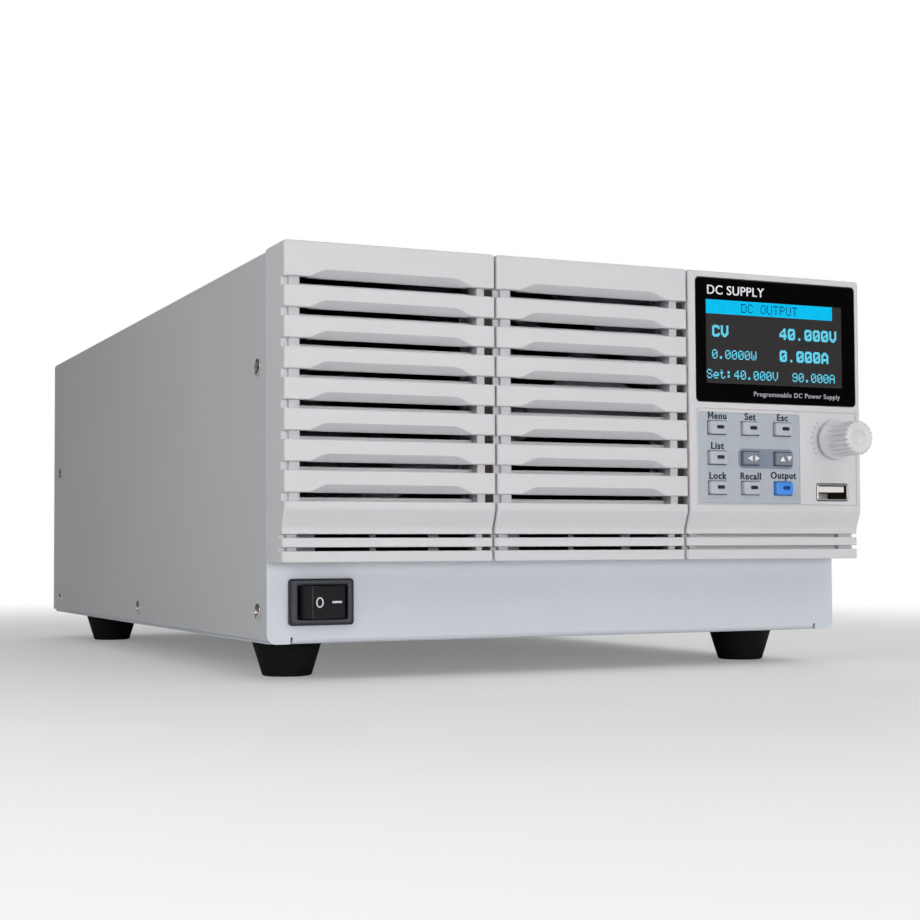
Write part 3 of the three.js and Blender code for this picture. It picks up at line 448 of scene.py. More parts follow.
def text_piece(name, text, x, z, height, y, mat, body, align="CENTER", squeeze=1.0, thick=0.012, bold=0.0, facing="front", spacing=1.0, double=0.0):
    """Lettering as thin closed solids; a doubled stroke makes it bolder."""
    rot = Matrix.Rotation(math.radians(90), 4, "X")
    if facing == "back":
        rot = Matrix.Rotation(math.radians(180), 4, "Z") @ rot
    bm = bmesh.new()
    for k, dx in enumerate((-double / 2, double / 2) if double else (0.0,)):
        me = text_mesh(text, height, align, squeeze, thick + 0.0015 * k, bold, spacing)
        me.transform(Matrix.Translation(W(x, y, z)) @ rot @ Matrix.Translation((dx * MM, 0, 0)))
        bm.from_mesh(me)
        bpy.data.meshes.remove(me)
    me = bpy.data.meshes.new(name)
    bm.to_mesh(me)
    bm.free()
    return link_obj(name, me, mat, body)


def lathe_bm(profile, seg, to_world):
    """profile: (r, h) list; axis points with r = 0 become poles."""
    bm = bmesh.new()
    rings = []
    for r, h in profile:
        if r < 1e-6:
            rings.append([bm.verts.new(to_world(0, 0, h))])
        else:
            rings.append(
                [bm.verts.new(to_world(r * math.cos(math.tau * i / seg), r * math.sin(math.tau * i / seg), h)) for i in range(seg)]
            )
    for a, b in zip(rings, rings[1:]):
        for i in range(seg):
            j = (i + 1) % seg
            if len(a) == 1 and len(b) == 1:
                continue
            if len(a) == 1:
                bm.faces.new((a[0], b[j], b[i]))
            elif len(b) == 1:
                bm.faces.new((a[i], a[j], b[0]))
            else:
                bm.faces.new((a[i], a[j], b[j], b[i]))
    return bm


def apply_mods(o):
    bpy.context.view_layer.update()
    dg = bpy.context.evaluated_depsgraph_get()
    me = bpy.data.meshes.new_from_object(o.evaluated_get(dg))
    old = o.data
    o.modifiers.clear()
    o.data = me
    bpy.data.meshes.remove(old)
    return o


def smooth_by_angle(o, deg=35):
    me = o.data
    me.polygons.foreach_set("use_smooth", [True] * len(me.polygons))
    bm = bmesh.new()
    bm.from_mesh(me)
    lim = math.radians(deg)
    for e in bm.edges:
        if len(e.link_faces) == 2:
            e.smooth = e.calc_face_angle(0) < lim
    bm.to_mesh(me)
    bm.free()


def boolean_cut(o, cutter, solver="EXACT"):
    md = o.modifiers.new("cut", "BOOLEAN")
    md.operation = "DIFFERENCE"
    md.object = cutter
    md.solver = solver
    apply_mods(o)
    bpy.data.objects.remove(cutter)
    return o


def temp_obj(bm):
    bmesh.ops.recalc_face_normals(bm, faces=bm.faces)
    me = bpy.data.meshes.new("tmp")
    bm.to_mesh(me)
    bm.free()
    o = bpy.data.objects.new("tmp", me)
    sc.collection.objects.link(o)
    return o


def add_box(bm, x0, x1, y0, y1, z0, z1):
    vs = [bm.verts.new(W(x, y, z)) for x in (x0, x1) for y in (y0, y1) for z in (z0, z1)]
    for f in ((0, 1, 3, 2), (4, 6, 7, 5), (0, 4, 5, 1), (2, 3, 7, 6), (0, 2, 6, 4), (1, 5, 7, 3)):
        bm.faces.new([vs[i] for i in f])


def finish_cad(node, mat, bevel=0.2, seg=2, angle=32):
    """Eases a CAD node's edges with modifiers and gives it its material."""
    o = N[node]
    o.data.materials.clear()
    o.data.materials.append(mat)
    w = o.modifiers.new("weld", "WELD")
    w.merge_threshold = 2e-6
    d = o.modifiers.new("planar", "DECIMATE")
    d.decimate_type = "DISSOLVE"
    d.angle_limit = math.radians(0.6)
    if bevel:
        b = o.modifiers.new("ease", "BEVEL")
        b.width = bevel * MM
        b.segments = seg
        b.limit_method = "ANGLE"
        b.angle_limit = math.radians(angle)
        b.use_clamp_overlap = True
        b.miter_outer = "MITER_ARC" if seg > 1 else "MITER_SHARP"
        b.harden_normals = False
        o.data.polygons.foreach_set("use_smooth", [True] * len(o.data.polygons))
        wn = o.modifiers.new("normals", "WEIGHTED_NORMAL")
        wn.mode = "FACE_AREA"
        wn.weight = 100
        wn.keep_sharp = True
    return o


CH = "chassis"

# ------------------------------------------------------------------ carried-over CAD nodes
finish_cad("top_cover", M["cover"], 0.25, 2)
finish_cad("base_chassis", M["chassis"], 0.18, 2)
finish_cad("rear_panel", M["chassis"], 0.15, 1)
finish_cad("display_module", M["insulator"], 0.2, 2)
finish_cad("usb_port_tongue", M["white_plastic"], 0.15, 2)
finish_cad("switch_rocker", M["rocker"], 0.35, 3, 25)
for s in ("left", "middle", "right"):
    finish_cad("fan_frame_" + s, M["fan"], 0.3, 2, 30)
    finish_cad("fan_rotor_" + s, M["fan"], 0.25, 2, 30)
finish_cad("terminal_positive", M["tin"], 0.4, 3)
finish_cad("terminal_negative", M["tin"], 0.4, 3)
finish_cad("terminal_block", M["insulator"], 0.4, 2)
finish_cad("terminal_cover", M["insulator"], 0.6, 3)
finish_cad("sense_connector", M["green"], 0.25, 2)
finish_cad("analog_connector", M["insulator"], 0.25, 2)
finish_cad("ac_inlet", M["insulator"], 0.35, 2)
finish_cad("lan_jack", M["steel"], 0.15, 2)
finish_cad("usb_device_jack", M["steel"], 0.15, 2)
finish_cad("encoder_body", M["alu"], 0.15, 2)
finish_cad("encoder_shaft", M["alu"], 0.15, 2)
finish_cad("encoder_rotor", M["insulator"], 0.1, 2)
finish_cad("power_board", M["pcb"], 0.15, 1)
finish_cad("front_board", M["pcb"], 0.1, 1)
finish_cad("heatsink", M["alu"], 0.15, 1)
finish_cad("transformer", M["core"], 0.6, 2)
finish_cad("front_panel_cable", M["cable"], 0.1, 1)

# ------------------------------------------------------------------ bezels
Z_TOP, Z_CHIN, Z_CHIN_TOP, Z_STEP, CHIN_BACK = 136.0, 37.6, 53.7, 48.3, 2.4
DEPTH, SLOT_TOP, PITCH, SLOT_H, OPEN = 17.4, 122.23, 9.422, 2.72, 29.8
CHIN = ((45.15, 46.3), (41.04, 42.25))


def prism(pts, axis, a, b, bm=None):
    """Closed prism from an outline; axis X takes (y, z), Y takes (x, z), Z takes (x, y)."""
    bm = bm or bmesh.new()
    put = {
        "X": lambda p, t: W(t, p[0], p[1]),
        "Y": lambda p, t: W(p[0], t, p[1]),
        "Z": lambda p, t: W(p[0], p[1], t),
    }[axis]
    A = [bm.verts.new(put(p, a)) for p in pts]
    B = [bm.verts.new(put(p, b)) for p in pts]
    n = len(pts)
    for i in range(n):
        j = (i + 1) % n
        bm.faces.new((A[i], A[j], B[j], B[i]))
    bm.faces.new(A)
    bm.faces.new(B)
    return bm


def cutaway(o, bm):
    """Cuts with a set of cutters that do not touch each other."""
    return boolean_cut(o, temp_obj(bm), "MANIFOLD")


def module_body(x0, x1):
    """One bezel blank with its outer edges rounded."""
    R = 0.95

    def section(x, d):
        pts = [(DEPTH, Z_CHIN + d), (CHIN_BACK + 0.35 + d, Z_CHIN + d), (CHIN_BACK + 0.1 + d, Z_CHIN + 0.1 + d), (CHIN_BACK + d, Z_CHIN + 0.35 + d)]
        pts += [(CHIN_BACK + d, Z_STEP - 0.5), (CHIN_BACK - 0.06 + d, Z_STEP + 0.05), (CHIN_BACK - 0.25 + d, Z_STEP + 0.6)]
        pts += [(0.3 + d, Z_CHIN_TOP - 0.55), (0.08 + d, Z_CHIN_TOP + 0.05), (d, Z_CHIN_TOP + 0.75)]
        for i in range(8):
            a = math.radians(180 - 90 * i / 7)
            pts.append((R + d + R * math.cos(a), Z_TOP - d - R + R * math.sin(a)))
        pts.append((DEPTH, Z_TOP - d))
        return [W(x, y, z) for y, z in pts]

    loops = []
    for i in range(8):
        a = math.radians(90 * i / 7)
        loops.append(section(x0 + R * (1 - math.cos(a)), R * (1 - math.sin(a))))
    for i in reversed(range(8)):
        a = math.radians(90 * i / 7)
        loops.append(section(x1 - R * (1 - math.cos(a)), R * (1 - math.sin(a))))
    bm = loops_to_bm(loops)
    bmesh.ops.recalc_face_normals(bm, faces=bm.faces)
    o = temp_obj(bm)
    return o


def groove_cuts(o, x0, x1, slots, y_front, c=0.22, seam=False):
    """Grooves that wrap the front and both sides, their mouths eased."""
    g = 2.2

    def mouth(u0, v0, v1, sgn=1):
        # outline: open towards -u
        return [(u0 - sgn * 1.0, v0 - c - 1.0), (u0 + sgn * c, v0), (u0 + sgn * g, v0), (u0 + sgn * g, v1), (u0 + sgn * c, v1), (u0 - sgn * 1.0, v1 + c + 1.0)]

    bm = bmesh.new()
    for z0, z1 in slots:
        prism(mouth(y_front, z0, z1), "X", x0 - 2, x1 + 2, bm)
    cutaway(o, bm)
    bm = bmesh.new()
    for z0, z1 in slots:
        prism(mouth(x0, z0, z1), "Y", -2, y_front + 3.4, bm)
        prism(mouth(x1, z0, z1, -1), "Y", -2, y_front + 3.4, bm)
    cutaway(o, bm)
    if seam:
        boxes(o, [(x1 - 2.95, x1 + 1, -1, y_front + 7.2, z0 + 0.001, z1 - 0.001) for z0, z1 in slots])


def boxes(o, list_):
    bm = bmesh.new()
    for b in list_:
        add_box(bm, *b)
    cutaway(o, bm)


def bezel_done(o, name, node):
    smooth_by_angle(o, 24)
    wn = o.modifiers.new("normals", "WEIGHTED_NORMAL")
    wn.mode = "FACE_AREA"
    wn.weight = 100
    wn.keep_sharp = True
    o.name = name
    o.data.name = name
    o.data.materials.clear()
    o.data.materials.append(M["bezel"])
    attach(o, CH)
    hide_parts(node)


def clips(o, cx):
    for dx, w, z0, z1 in ((-22, 4, 132, 134), (22, 4, 132, 134), (-28, 3, 39.2, 40.6), (28, 3, 39.2, 40.6)):
        b = bmesh.new()
        add_box(b, cx + dx - w, cx + dx + w, 12, 21.4, z0, z1)
        t = temp_obj(b)
        md = o.modifiers.new("join", "BOOLEAN")
        md.operation = "UNION"
        md.object = t
        md.solver = "MANIFOLD"
        apply_mods(o)
        bpy.data.objects.remove(t)


def grille(node):
    lo, hi = box_mm(node)
    x0, x1 = lo[0], hi[0]
    cx = (x0 + x1) / 2
    o = module_body(x0, x1)
    boxes(o, [(x0 + 2.2, x1 - 2.2, 8, DEPTH + 1, Z_CHIN + 2, Z_TOP - 2.2)])
    clips(o, cx)
    slots = [(SLOT_TOP - PITCH * k, SLOT_TOP - PITCH * k + SLOT_H) for k in range(8)]
    groove_cuts(o, x0, x1, slots, 0.0, seam=True)
    groove_cuts(o, x0, x1, CHIN, CHIN_BACK, 0.16, seam=True)
    boxes(o, [(cx - OPEN, cx + OPEN, -1, 6.2, a, b) for a, b in slots])
    boxes(o, [(cx - OPEN, cx + OPEN, 6.1, 9, a + 1.35, b) for a, b in slots])
    # relief behind the thin wall over each slot
    boxes(o, [(cx - OPEN, cx + OPEN, 4.05, 9, b - 0.1, b + 1.5) for a, b in slots])
    boxes(o, [(cx + s * 28.3 - 1.5, cx + s * 28.3 + 1.5, 2.25, 4.2, b - 0.1, b + 1.5) for a, b in slots for s in (-1, 1)])
    # scooped facets
    bm = bmesh.new()
    H, D, flat, end = 2.4, 3.4, 21.1, 29.0
    m = H / D
    for a, b in slots:
        secs = []
        steps = 10
        for i in range(steps + 1):
            t = i / steps
            k = -0.06 + 1.06 * t * t * (3 - 2 * t)
            secs.append((-end + (end - flat) * t, k))
        secs += [(-x, k) for x, k in reversed(secs)]
        loops = [[W(cx + x, -1, b - 0.5), W(cx + x, -1, b + H * k + m), W(cx + x, (H * k + 0.5) / m, b - 0.5)] for x, k in secs]
        rings = [[bm.verts.new(p) for p in lp] for lp in loops]
        for r1, r2 in zip(rings, rings[1:]):
            for i in range(3):
                j = (i + 1) % 3
                bm.faces.new((r1[i], r1[j], r2[j], r2[i]))
        bm.faces.new(rings[0])
        bm.faces.new(rings[-1])
    cutaway(o, bm)
    boxes(o, [(cx - 30, cx + 30.2, -1, 9, a, b) for a, b in CHIN])
    bezel_done(o, "louvred_" + node, node)


grille("grille_left")
grille("grille_middle")
# dark strips deep in each seam between the louvred modules: painted shade standing in for the gap's shadow
bm = bmesh.new()
for node in ("grille_left", "grille_middle"):
    lo, hi = box_mm(node)
    for z0, z1, y in [(SLOT_TOP - PITCH * k, SLOT_TOP - PITCH * k + SLOT_H, 3.5) for k in range(8)] + [(a, b, CHIN_BACK + 3.5) for a, b in CHIN]:
        add_box(bm, hi[0] - 2.93, hi[0] - 0.05, y, y + 1.2, z0 + 0.02, z1 - 0.02)
bmesh.ops.bevel(bm, geom=bm.edges[:], offset=0.1 * MM, segments=2, affect="EDGES", profile=0.5)
from_bm("seam_seals", bm, M["seal"], CH)


def control_bezel():
    lo, hi = box_mm("control_bezel")
    x0, x1 = lo[0], hi[0]
    o = module_body(x0, x1)
    boxes(o, [(x0 + 2.2, x1 - 2.2, 2.7, DEPTH + 1, 51.5, Z_TOP - 2.2)])
    boxes(o, [(x0 + 2.2, x1 - 2.2, 8, DEPTH + 1, Z_CHIN + 2, 52.0)])
    clips(o, (x0 + x1) / 2)
    groove_cuts(o, x0, x1, CHIN, CHIN_BACK, 0.16)
    boxes(o, [(41.0, 100.2, -1, 6.4, a, b) for a, b in CHIN])
    wl, wh = box_mm("display_window")
    e = 0.15
    cutaway(o, prism(rrect(wl[0] - e, wh[0] + e, wl[2] - e, wh[2] + e, 1.6, 10), "Y", -1, 1.65))
    boxes(o, [(40.6, 101.4, 1, 4, 94.6, 129.4)])
    pl, ph = box_mm("keypad_panel")
    cutaway(o, prism(rrect(pl[0] - 0.06, ph[0] + 0.06, pl[2] - 0.06, ph[2] + 0.06, 0.5, 6), "Y", -1, 1.25))
    kl, kh = box_mm("encoder_knob")
    kx_, kz_ = (kl[0] + kh[0]) / 2, (kl[2] + kh[2]) / 2
    cutaway(o, prism([(kx_ + 4.4 * math.cos(math.tau * i / 48), kz_ + 4.4 * math.sin(math.tau * i / 48)) for i in range(48)], "Y", -1, 4))
    ul, uh = box_mm("usb_port_shell")
    cutaway(o, prism(rrect(ul[0] - 0.3, uh[0] + 0.3, ul[2] - 0.3, uh[2] + 0.3, 0.8, 6), "Y", -1, 4))
    keys = []
    for k in ("menu", "set", "esc", "list", "left_right", "up_down", "lock", "recall", "output"):
        a, b = box_mm("key_" + k)
        cx, cz = (a[0] + b[0]) / 2, (a[2] + b[2]) / 2
        keys.append((cx - 3.75, cx + 3.75, -1, 4, cz - 2.475, cz + 2.475))
    boxes(o, keys)
    # hairline round the control area
    rx0, rx1, rz0, rz1, w, d = 39.0, 105.1, 56.1, 89.0, 0.35, 0.16
    boxes(o, [(rx0, rx1, -1, d, rz0, rz0 + w), (rx0, rx1, -1, d, rz1 - w, rz1)])
    boxes(o, [(rx0, rx0 + w, -1, d, rz0 + w / 2, rz1 - w / 2), (rx1 - w, rx1, -1, d, rz0 + w / 2, rz1 - w / 2)])
    bezel_done(o, "control_fascia", "control_bezel")


control_bezel()


def keypad():
    pl, ph = box_mm("keypad_panel")
    yf = pl[1] - Y0
    loops = []
    for inset, y in ((0, 1.1), (0, yf + 0.12), (0.04, yf + 0.04), (0.12, yf)):
        loops.append([W(x, y, z) for x, z in rrect(pl[0] + inset, ph[0] - inset, pl[2] + inset, ph[2] - inset, 0.45 - inset, 6)])
    o = temp_obj(loops_to_bm(loops))
    cut_list = []
    for k in ("menu", "set", "esc", "list", "left_right", "up_down", "lock", "recall", "output"):
        a, b = box_mm("key_" + k)
        cx, cz = (a[0] + b[0]) / 2, (a[2] + b[2]) / 2
        cut_list.append((cx - 3.75, cx + 3.75, -1, 4, cz - 2.475, cz + 2.475))
    boxes(o, cut_list)
    o.name = "keypad_plate"
    o.data.name = "keypad_plate"
    o.data.materials.clear()
    o.data.materials.append(M["keypad"])
    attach(o, CH)
    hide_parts("keypad_panel")


keypad()

# ------------------------------------------------------------------ display
lo, hi = box_mm("display_window")
wx0, wz0, wx1, wz1 = lo[0], lo[2], hi[0], hi[2]
wy = lo[1] - Y0
win = plate("display_window_gloss", (wx0, wx1, wz0, wz1), 1.5, wy, wy + 1.4, M["glass"], CH, edge=0.18, seg=10)
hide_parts("display_window")

FONT5 = {
    "0": ["01110", "10001", "10011", "10101", "11001", "10001", "01110"],
    "1": ["00100", "01100", "00100", "00100", "00100", "00100", "01110"],
    "2": ["01110", "10001", "00001", "00110", "01000", "10000", "11111"],
    "4": ["00010", "00110", "01010", "10010", "11111", "00010", "00010"],
    "9": ["01110", "10001", "10001", "01111", "00001", "10001", "01110"],
    ".": ["00000", "00000", "00000", "00000", "00000", "01100", "01100"],
    ":": ["00000", "01100", "01100", "00000", "01100", "01100", "00000"],
    "V": ["10001", "10001", "10001", "10001", "10001", "01010", "00100"],
    "A": ["01110", "10001", "10001", "11111", "10001", "10001", "10001"],
    "W": ["10001", "10001", "10001", "10101", "10101", "10101", "01010"],
    "S": ["01110", "10001", "10000", "01110", "00001", "10001", "01110"],
    "e": ["00000", "00000", "01110", "10001", "11111", "10000", "01110"],
    "t": ["01000", "01000", "11100", "01000", "01000", "01001", "00110"],
    "D": ["11110", "10001", "10001", "10001", "10001", "10001", "11110"],
    "C": ["01110", "10001", "10000", "10000", "10000", "10001", "01110"],
    "O": ["01110", "10001", "10001", "10001", "10001", "10001", "01110"],
    "U": ["10001", "10001", "10001", "10001", "10001", "10001", "01110"],
    "T": ["11111", "00100", "00100", "00100", "00100", "00100", "00100"],
    "P": ["11110", "10001", "10001", "11110", "10000", "10000", "10000"],
    " ": ["00000"] * 7,
}
FONT7 = {
    "0": ["0111110", "1111111", "1100011", "1100111", "1101111", "1111011", "1110011", "1111111", "0111110"],
    "4": ["0000110", "0001110", "0011110", "0110110", "1100110", "1111111", "1111111", "0000110", "0000110"],
    ".": ["0000000", "0000000", "0000000", "0000000", "0000000", "0000000", "0000000", "0011000", "0011000"],
    "V": ["1100011", "1100011", "1100011", "1100011", "1100011", "1100011", "1110111", "0111110", "0011100"],
    "A": ["0011100", "0111110", "1110111", "1100011", "1100011", "1111111", "1111111", "1100011", "1100011"],
    "C": ["0111110", "1111111", "1100011", "1100000", "1100000", "1100000", "1100011", "1111111", "0111110"],
}
SCR = {"x0": 43.1, "x1": 99.3, "z0": 97.6, "z1": 126.2}
PX = (SCR["x1"] - SCR["x0"]) / 128.0
PZ = (SCR["z1"] - SCR["z0"]) / 64.0


def pixel_text(bm, text, font, x, z_bottom, pitch, depth=(0.0, 0.0)):
    """Lights the dots of a text; x and z_bottom are in mm, pitch in dots."""
    y0, y1 = depth
    for ci, ch in enumerate(text):
        rows = font[ch]
        for ri, row in enumerate(rows):
            zb = z_bottom + (len(rows) - 1 - ri) * PZ
            c = 0
            while c < len(row):
                if row[c] == "1":
                    e = c
                    while e + 1 < len(row) and row[e + 1] == "1":
                        e += 1
                    xa = x + (ci * pitch + c) * PX
                    xb = x + (ci * pitch + e + 1) * PX
                    add_box(bm, xa + 0.02, xb - 0.02, y0, y1, zb + 0.025, zb + PZ - 0.025)
                    c = e + 1
                else:
                    c += 1


yg = wy  # the window's front
plate("screen_ground", (SCR["x0"], SCR["x1"], SCR["z0"], SCR["z1"]), 0.15, yg - 0.010, yg + 0.15, M["screen"], CH, edge=0.004)
plate("screen_title_bar", (SCR["x0"], 95.4, 121.4, SCR["z1"]), 0.1, yg - 0.018, yg + 0.1, M["bar"], CH, edge=0.004)
bm = bmesh.new()
dd = (yg - 0.024, yg + 0.02)
pixel_text(bm, "CV", FONT7, 45.5, 113.5, 8, dd)
pixel_text(bm, "40.000V", FONT7, 73.0, 113.7, 8, dd)
pixel_text(bm, "0.000A", FONT7, 73.0, 106.0, 8, dd)
pixel_text(bm, "0.0000W", FONT5, 45.4, 106.0, 6, dd)
pixel_text(bm, "Set:", FONT5, 43.2, 99.2, 6, dd)
pixel_text(bm, "40.000V", FONT5, 54.2, 99.2, 6, dd)
pixel_text(bm, "90.000A", FONT5, 78.2, 99.2, 6, dd)
from_bm("screen_readout", bm, M["dots"], CH)
bm = bmesh.new()
pixel_text(bm, "DC OUTPUT", FONT5, 57.4, 122.2, 6, (yg - 0.026, yg + 0.0))
from_bm("screen_title_text", bm, M["bar_text"], CH)
text_piece("window_legend", "Programmable DC Power Supply", 98.3, 93.65, 1.65, yg - 0.012, M["ink_pale"], CH, align="RIGHT", squeeze=1.07, thick=0.01, bold=0.01, spacing=1.1, double=0.07)
text_piece("window_title", "DC SUPPLY", 43.4, 128.1, 3.2, yg - 0.012, M["ink_white"], CH, align="LEFT", squeeze=1.0, thick=0.01, bold=0.02, spacing=1.06, double=0.12)

# ------------------------------------------------------------------ keypad legends and arrow surround
KEYS = {}
for name in ("menu", "set", "esc", "list", "left_right", "up_down", "lock", "recall", "output"):
    lo, hi = box_mm("key_" + name)
    KEYS[name] = ((lo[0] + hi[0]) / 2, (lo[2] + hi[2]) / 2, lo[1] - Y0)
lo, hi = box_mm("keypad_panel")
PADY = lo[1] - Y0
labels = {"menu": "Menu", "set": "Set", "esc": "Esc", "list": "List", "lock": "Lock", "recall": "Recall", "output": "Output"}
for k, t in labels.items():
    cx, cz, _ = KEYS[k]
    if k == "menu":
        # the capital is drawn from listed points, the rest is set
        mx0, mw, ms, mh, mz = cx - 3.45, 2.15, 0.58, 2.42, cz + 3.0
        pts = [(0, 0), (ms, 0), (ms, 0.56 * mh), (mw / 2, 0.10 * mh), (mw - ms, 0.56 * mh), (mw - ms, 0), (mw, 0), (mw, mh), (mw - 1.05 * ms, mh), (mw / 2, 0.48 * mh), (1.05 * ms, mh), (0, mh)]
        loops = [[W(mx0 + u, yy, mz + v) for u, v in pts] for yy in (PADY + 0.0, PADY - 0.022)]
        from_bm("legend_menu_capital", loops_to_bm(loops), M["ink_dark"], CH)
        text_piece("legend_menu", "enu", cx - 1.0, cz + 3.0, 2.4, PADY - 0.012, M["ink_dark"], CH, align="LEFT", squeeze=0.93, thick=0.01, bold=0.07, spacing=1.16, double=0.2)
        continue
    text_piece("legend_" + k, t, cx + (0.15 if k != "output" else 0.3), cz + (3.0 if k != "output" else 3.4), 2.4, PADY - 0.012, M["ink_dark"], CH, squeeze=0.93, thick=0.01, bold=0.07, spacing=1.16, double=0.2)

KW, KH = 6.95, 4.4
ax0, ax1, az0, az1 = 55.6, 78.0, 68.75, 75.5
sur = plate("arrow_key_surround", (ax0, ax1, az0, az1), 1.6, PADY - 0.10, PADY + 0.35, M["arrowpad"], CH, edge=0.06, seg=8)
for k in ("left_right", "up_down"):
    cx, cz, _ = KEYS[k]
    b = bmesh.new()
    add_box(b, cx - KW / 2 - 0.3, cx + KW / 2 + 0.3, -2, 3, cz - KH / 2 - 0.3, cz + KH / 2 + 0.3)
    boolean_cut(sur, temp_obj(b))


# ------------------------------------------------------------------ keys
def key_cap(node, mat, lens_mat):
    lo, hi = box_mm(node)
    cx, cz = (lo[0] + hi[0]) / 2, (lo[2] + hi[2]) / 2
    yf, yb = lo[1] - Y0, hi[1] - Y0
    loops = []
    # column, then an eased edge, then a slightly crowned face
    prof = [(0.0, 3.1), (0.0, yf + 0.4), (0.02, yf + 0.27), (0.08, yf + 0.14), (0.17, yf + 0.05), (0.3, yf + 0.01), (0.5, yf)]
    for inset, y in prof:
        r = max(0.2, 0.7 - inset * 0.5)
        loops.append([W(x, y, z) for x, z in rrect(cx - KW / 2 + inset, cx + KW / 2 - inset, cz - KH / 2 + inset, cz + KH / 2 - inset, r, 6)])
    bm = loops_to_bm(loops)
    o = from_bm("cap_" + node, bm, mat, node)
    fl = bmesh.new()
    add_box(fl, cx - KW / 2 - 0.8, cx + KW / 2 + 0.8, 3.0, 3.9, cz - KH / 2 - 0.8, cz + KH / 2 + 0.8)
    bmesh.ops.bevel(fl, geom=fl.edges[:], offset=0.15 * MM, segments=2, affect="EDGES", profile=0.5)
    f = temp_obj(fl)
    md = o.modifiers.new("join", "BOOLEAN")
    md.operation = "UNION"
    md.object = f
    md.solver = "EXACT"
    apply_mods(o)
    bpy.data.objects.remove(f)
    if lens_mat is not None:
        lx, lz = cx + 0.7, cz + 0.2
        pocket = [[W(x, y, z) for x, z in rrect(lx - 1.55, lx + 1.55, lz - 0.66, lz + 0.66, 0.64, 8)] for y in (yf - 1, yf + 0.3)]
        boolean_cut(o, temp_obj(loops_to_bm(pocket)))
        lens = plate("lamp_" + node, (lx - 1.51, lx + 1.51, lz - 0.62, lz + 0.62), 0.6, yf + 0.12, yf + 0.31, lens_mat, node, edge=0.05)
    smooth_by_angle(o, 40)
    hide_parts(node)
    return o


for k in ("menu", "set", "esc", "list", "lock", "recall"):
    key_cap("key_" + k, M["key"], M["lamp"])
key_cap("key_output", M["bluekey"], M["lamp_blue"])
for k in ("left_right", "up_down"):
    key_cap("key_" + k, M["arrowkey"], None)


def triangle(name, pts, y, mat, body):
    loops = [[W(x, yy, z) for x, z in pts] for yy in (y + 0.03, y - 0.008)]
    return from_bm(name, loops_to_bm(loops), mat, body)


cx, cz, yk = KEYS["left_right"]
cx += 0.6
triangle("arrow_left", [(cx - 2.45, cz), (cx - 0.55, cz + 1.05), (cx - 0.55, cz - 1.05)], yk, M["ink_white"], "key_left_right")
triangle("arrow_right", [(cx + 2.35, cz), (cx + 0.55, cz - 1.05), (cx + 0.55, cz + 1.05)], yk, M["ink_white"], "key_left_right")
cx, cz, yk = KEYS["up_down"]
cx += 0.6
triangle("arrow_up", [(cx - 1.4, cz + 0.9), (cx - 2.45, cz - 0.85), (cx - 0.35, cz - 0.85)], yk, M["ink_white"], "key_up_down")
triangle("arrow_down", [(cx + 1.35, cz - 0.8), (cx + 2.4, cz + 0.95), (cx + 0.3, cz + 0.95)], yk, M["ink_white"], "key_up_down")

# ------------------------------------------------------------------ knob
lo, hi = box_mm("encoder_knob")
kx, kz = (lo[0] + hi[0]) / 2, (lo[2] + hi[2]) / 2
k_tip, k_back = lo[1] - Y0, hi[1] - Y0


def knob():
    # (y, radius, flute depth share)
    prof = [
        (k_back, 5.75, 0), (k_back, 6.45, 0), (k_back - 0.12, 6.72, 0), (k_back - 0.4, 6.84, 0), (k_back - 1.2, 6.85, 0),
        (k_back - 1.6, 6.8, 0), (k_back - 2.0, 6.66, 0), (k_back - 2.5, 6.4, 0), (k_back - 3.0, 6.18, 0.0),
        (k_back - 3.4, 6.05, 0.15), (k_back - 3.8, 5.99, 0.55), (k_back - 4.2, 5.97, 0.9), (k_back - 4.7, 5.96, 1),
        (k_back - 8.0, 5.95, 1), (k_back - 11.0, 5.94, 1), (k_tip + 1.7, 5.93, 1), (k_tip + 1.2, 5.9, 1), (k_tip + 0.8, 5.8, 0.95),
        (k_tip + 0.48, 5.62, 0.9), (k_tip + 0.22, 5.36, 0.75), (k_tip + 0.06, 5.02, 0.5), (k_tip, 4.65, 0.25), (k_tip + 0.02, 4.3, 0.06), (k_tip + 0.04, 3.9, 0), (k_tip + 0.05, 3.1, 0),
        (k_tip + 0.1, 2.9, 0), (k_tip + 0.3, 2.7, 0), (k_tip + 0.7, 2.5, 0), (k_tip + 0.98, 2.2, 0), (k_tip + 1.14, 1.6, 0), (k_tip + 1.2, 0.8, 0),
    ]
    flutes, per = 20, 16
    seg = flutes * per
    bm = bmesh.new()
    rings = []
    for y, r, share in prof:
        ring = []
        for i in range(seg):
            a = math.tau * i / seg
            ph = (i % per) / per
            # narrow rounded groove between broad ribs
            g = math.exp(-(((ph - 0.5) / 0.14) ** 2))
            rr = r - 0.7 * share * g
            ring.append(bm.verts.new(W(kx + rr * math.cos(a), y, kz + rr * math.sin(a))))
        rings.append(ring)
    centre = bm.verts.new(W(kx, k_tip + 1.21, kz))
    for a, b in zip(rings, rings[1:]):
        for i in range(seg):
            j = (i + 1) % seg
            bm.faces.new((a[i], a[j], b[j], b[i]))
    for i in range(seg):
        bm.faces.new((rings[-1][i], rings[-1][(i + 1) % seg], centre))
    # underside: a shallow well, then the bore
    inner = []
    for y, r in ((k_back - 1.6, 5.7), (k_back - 1.6, 3.3), (k_tip + 4.8, 3.3)):
        inner.append([bm.verts.new(W(kx + r * math.cos(math.tau * i / seg), y, kz + r * math.sin(math.tau * i / seg))) for i in range(seg)])
    chain = [rings[0]] + inner
    for a, b in zip(chain, chain[1:]):
        for i in range(seg):
            j = (i + 1) % seg
            bm.faces.new((a[i], b[i], b[j], a[j]))
    end = bm.verts.new(W(kx, k_tip + 4.8, kz))
    for i in range(seg):
        bm.faces.new((inner[-1][i], end, inner[-1][(i + 1) % seg]))
    o = from_bm("knob_fluted", bm, M["knob"], "encoder_knob")
    smooth_by_angle(o, 50)
    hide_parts("encoder_knob")


knob()
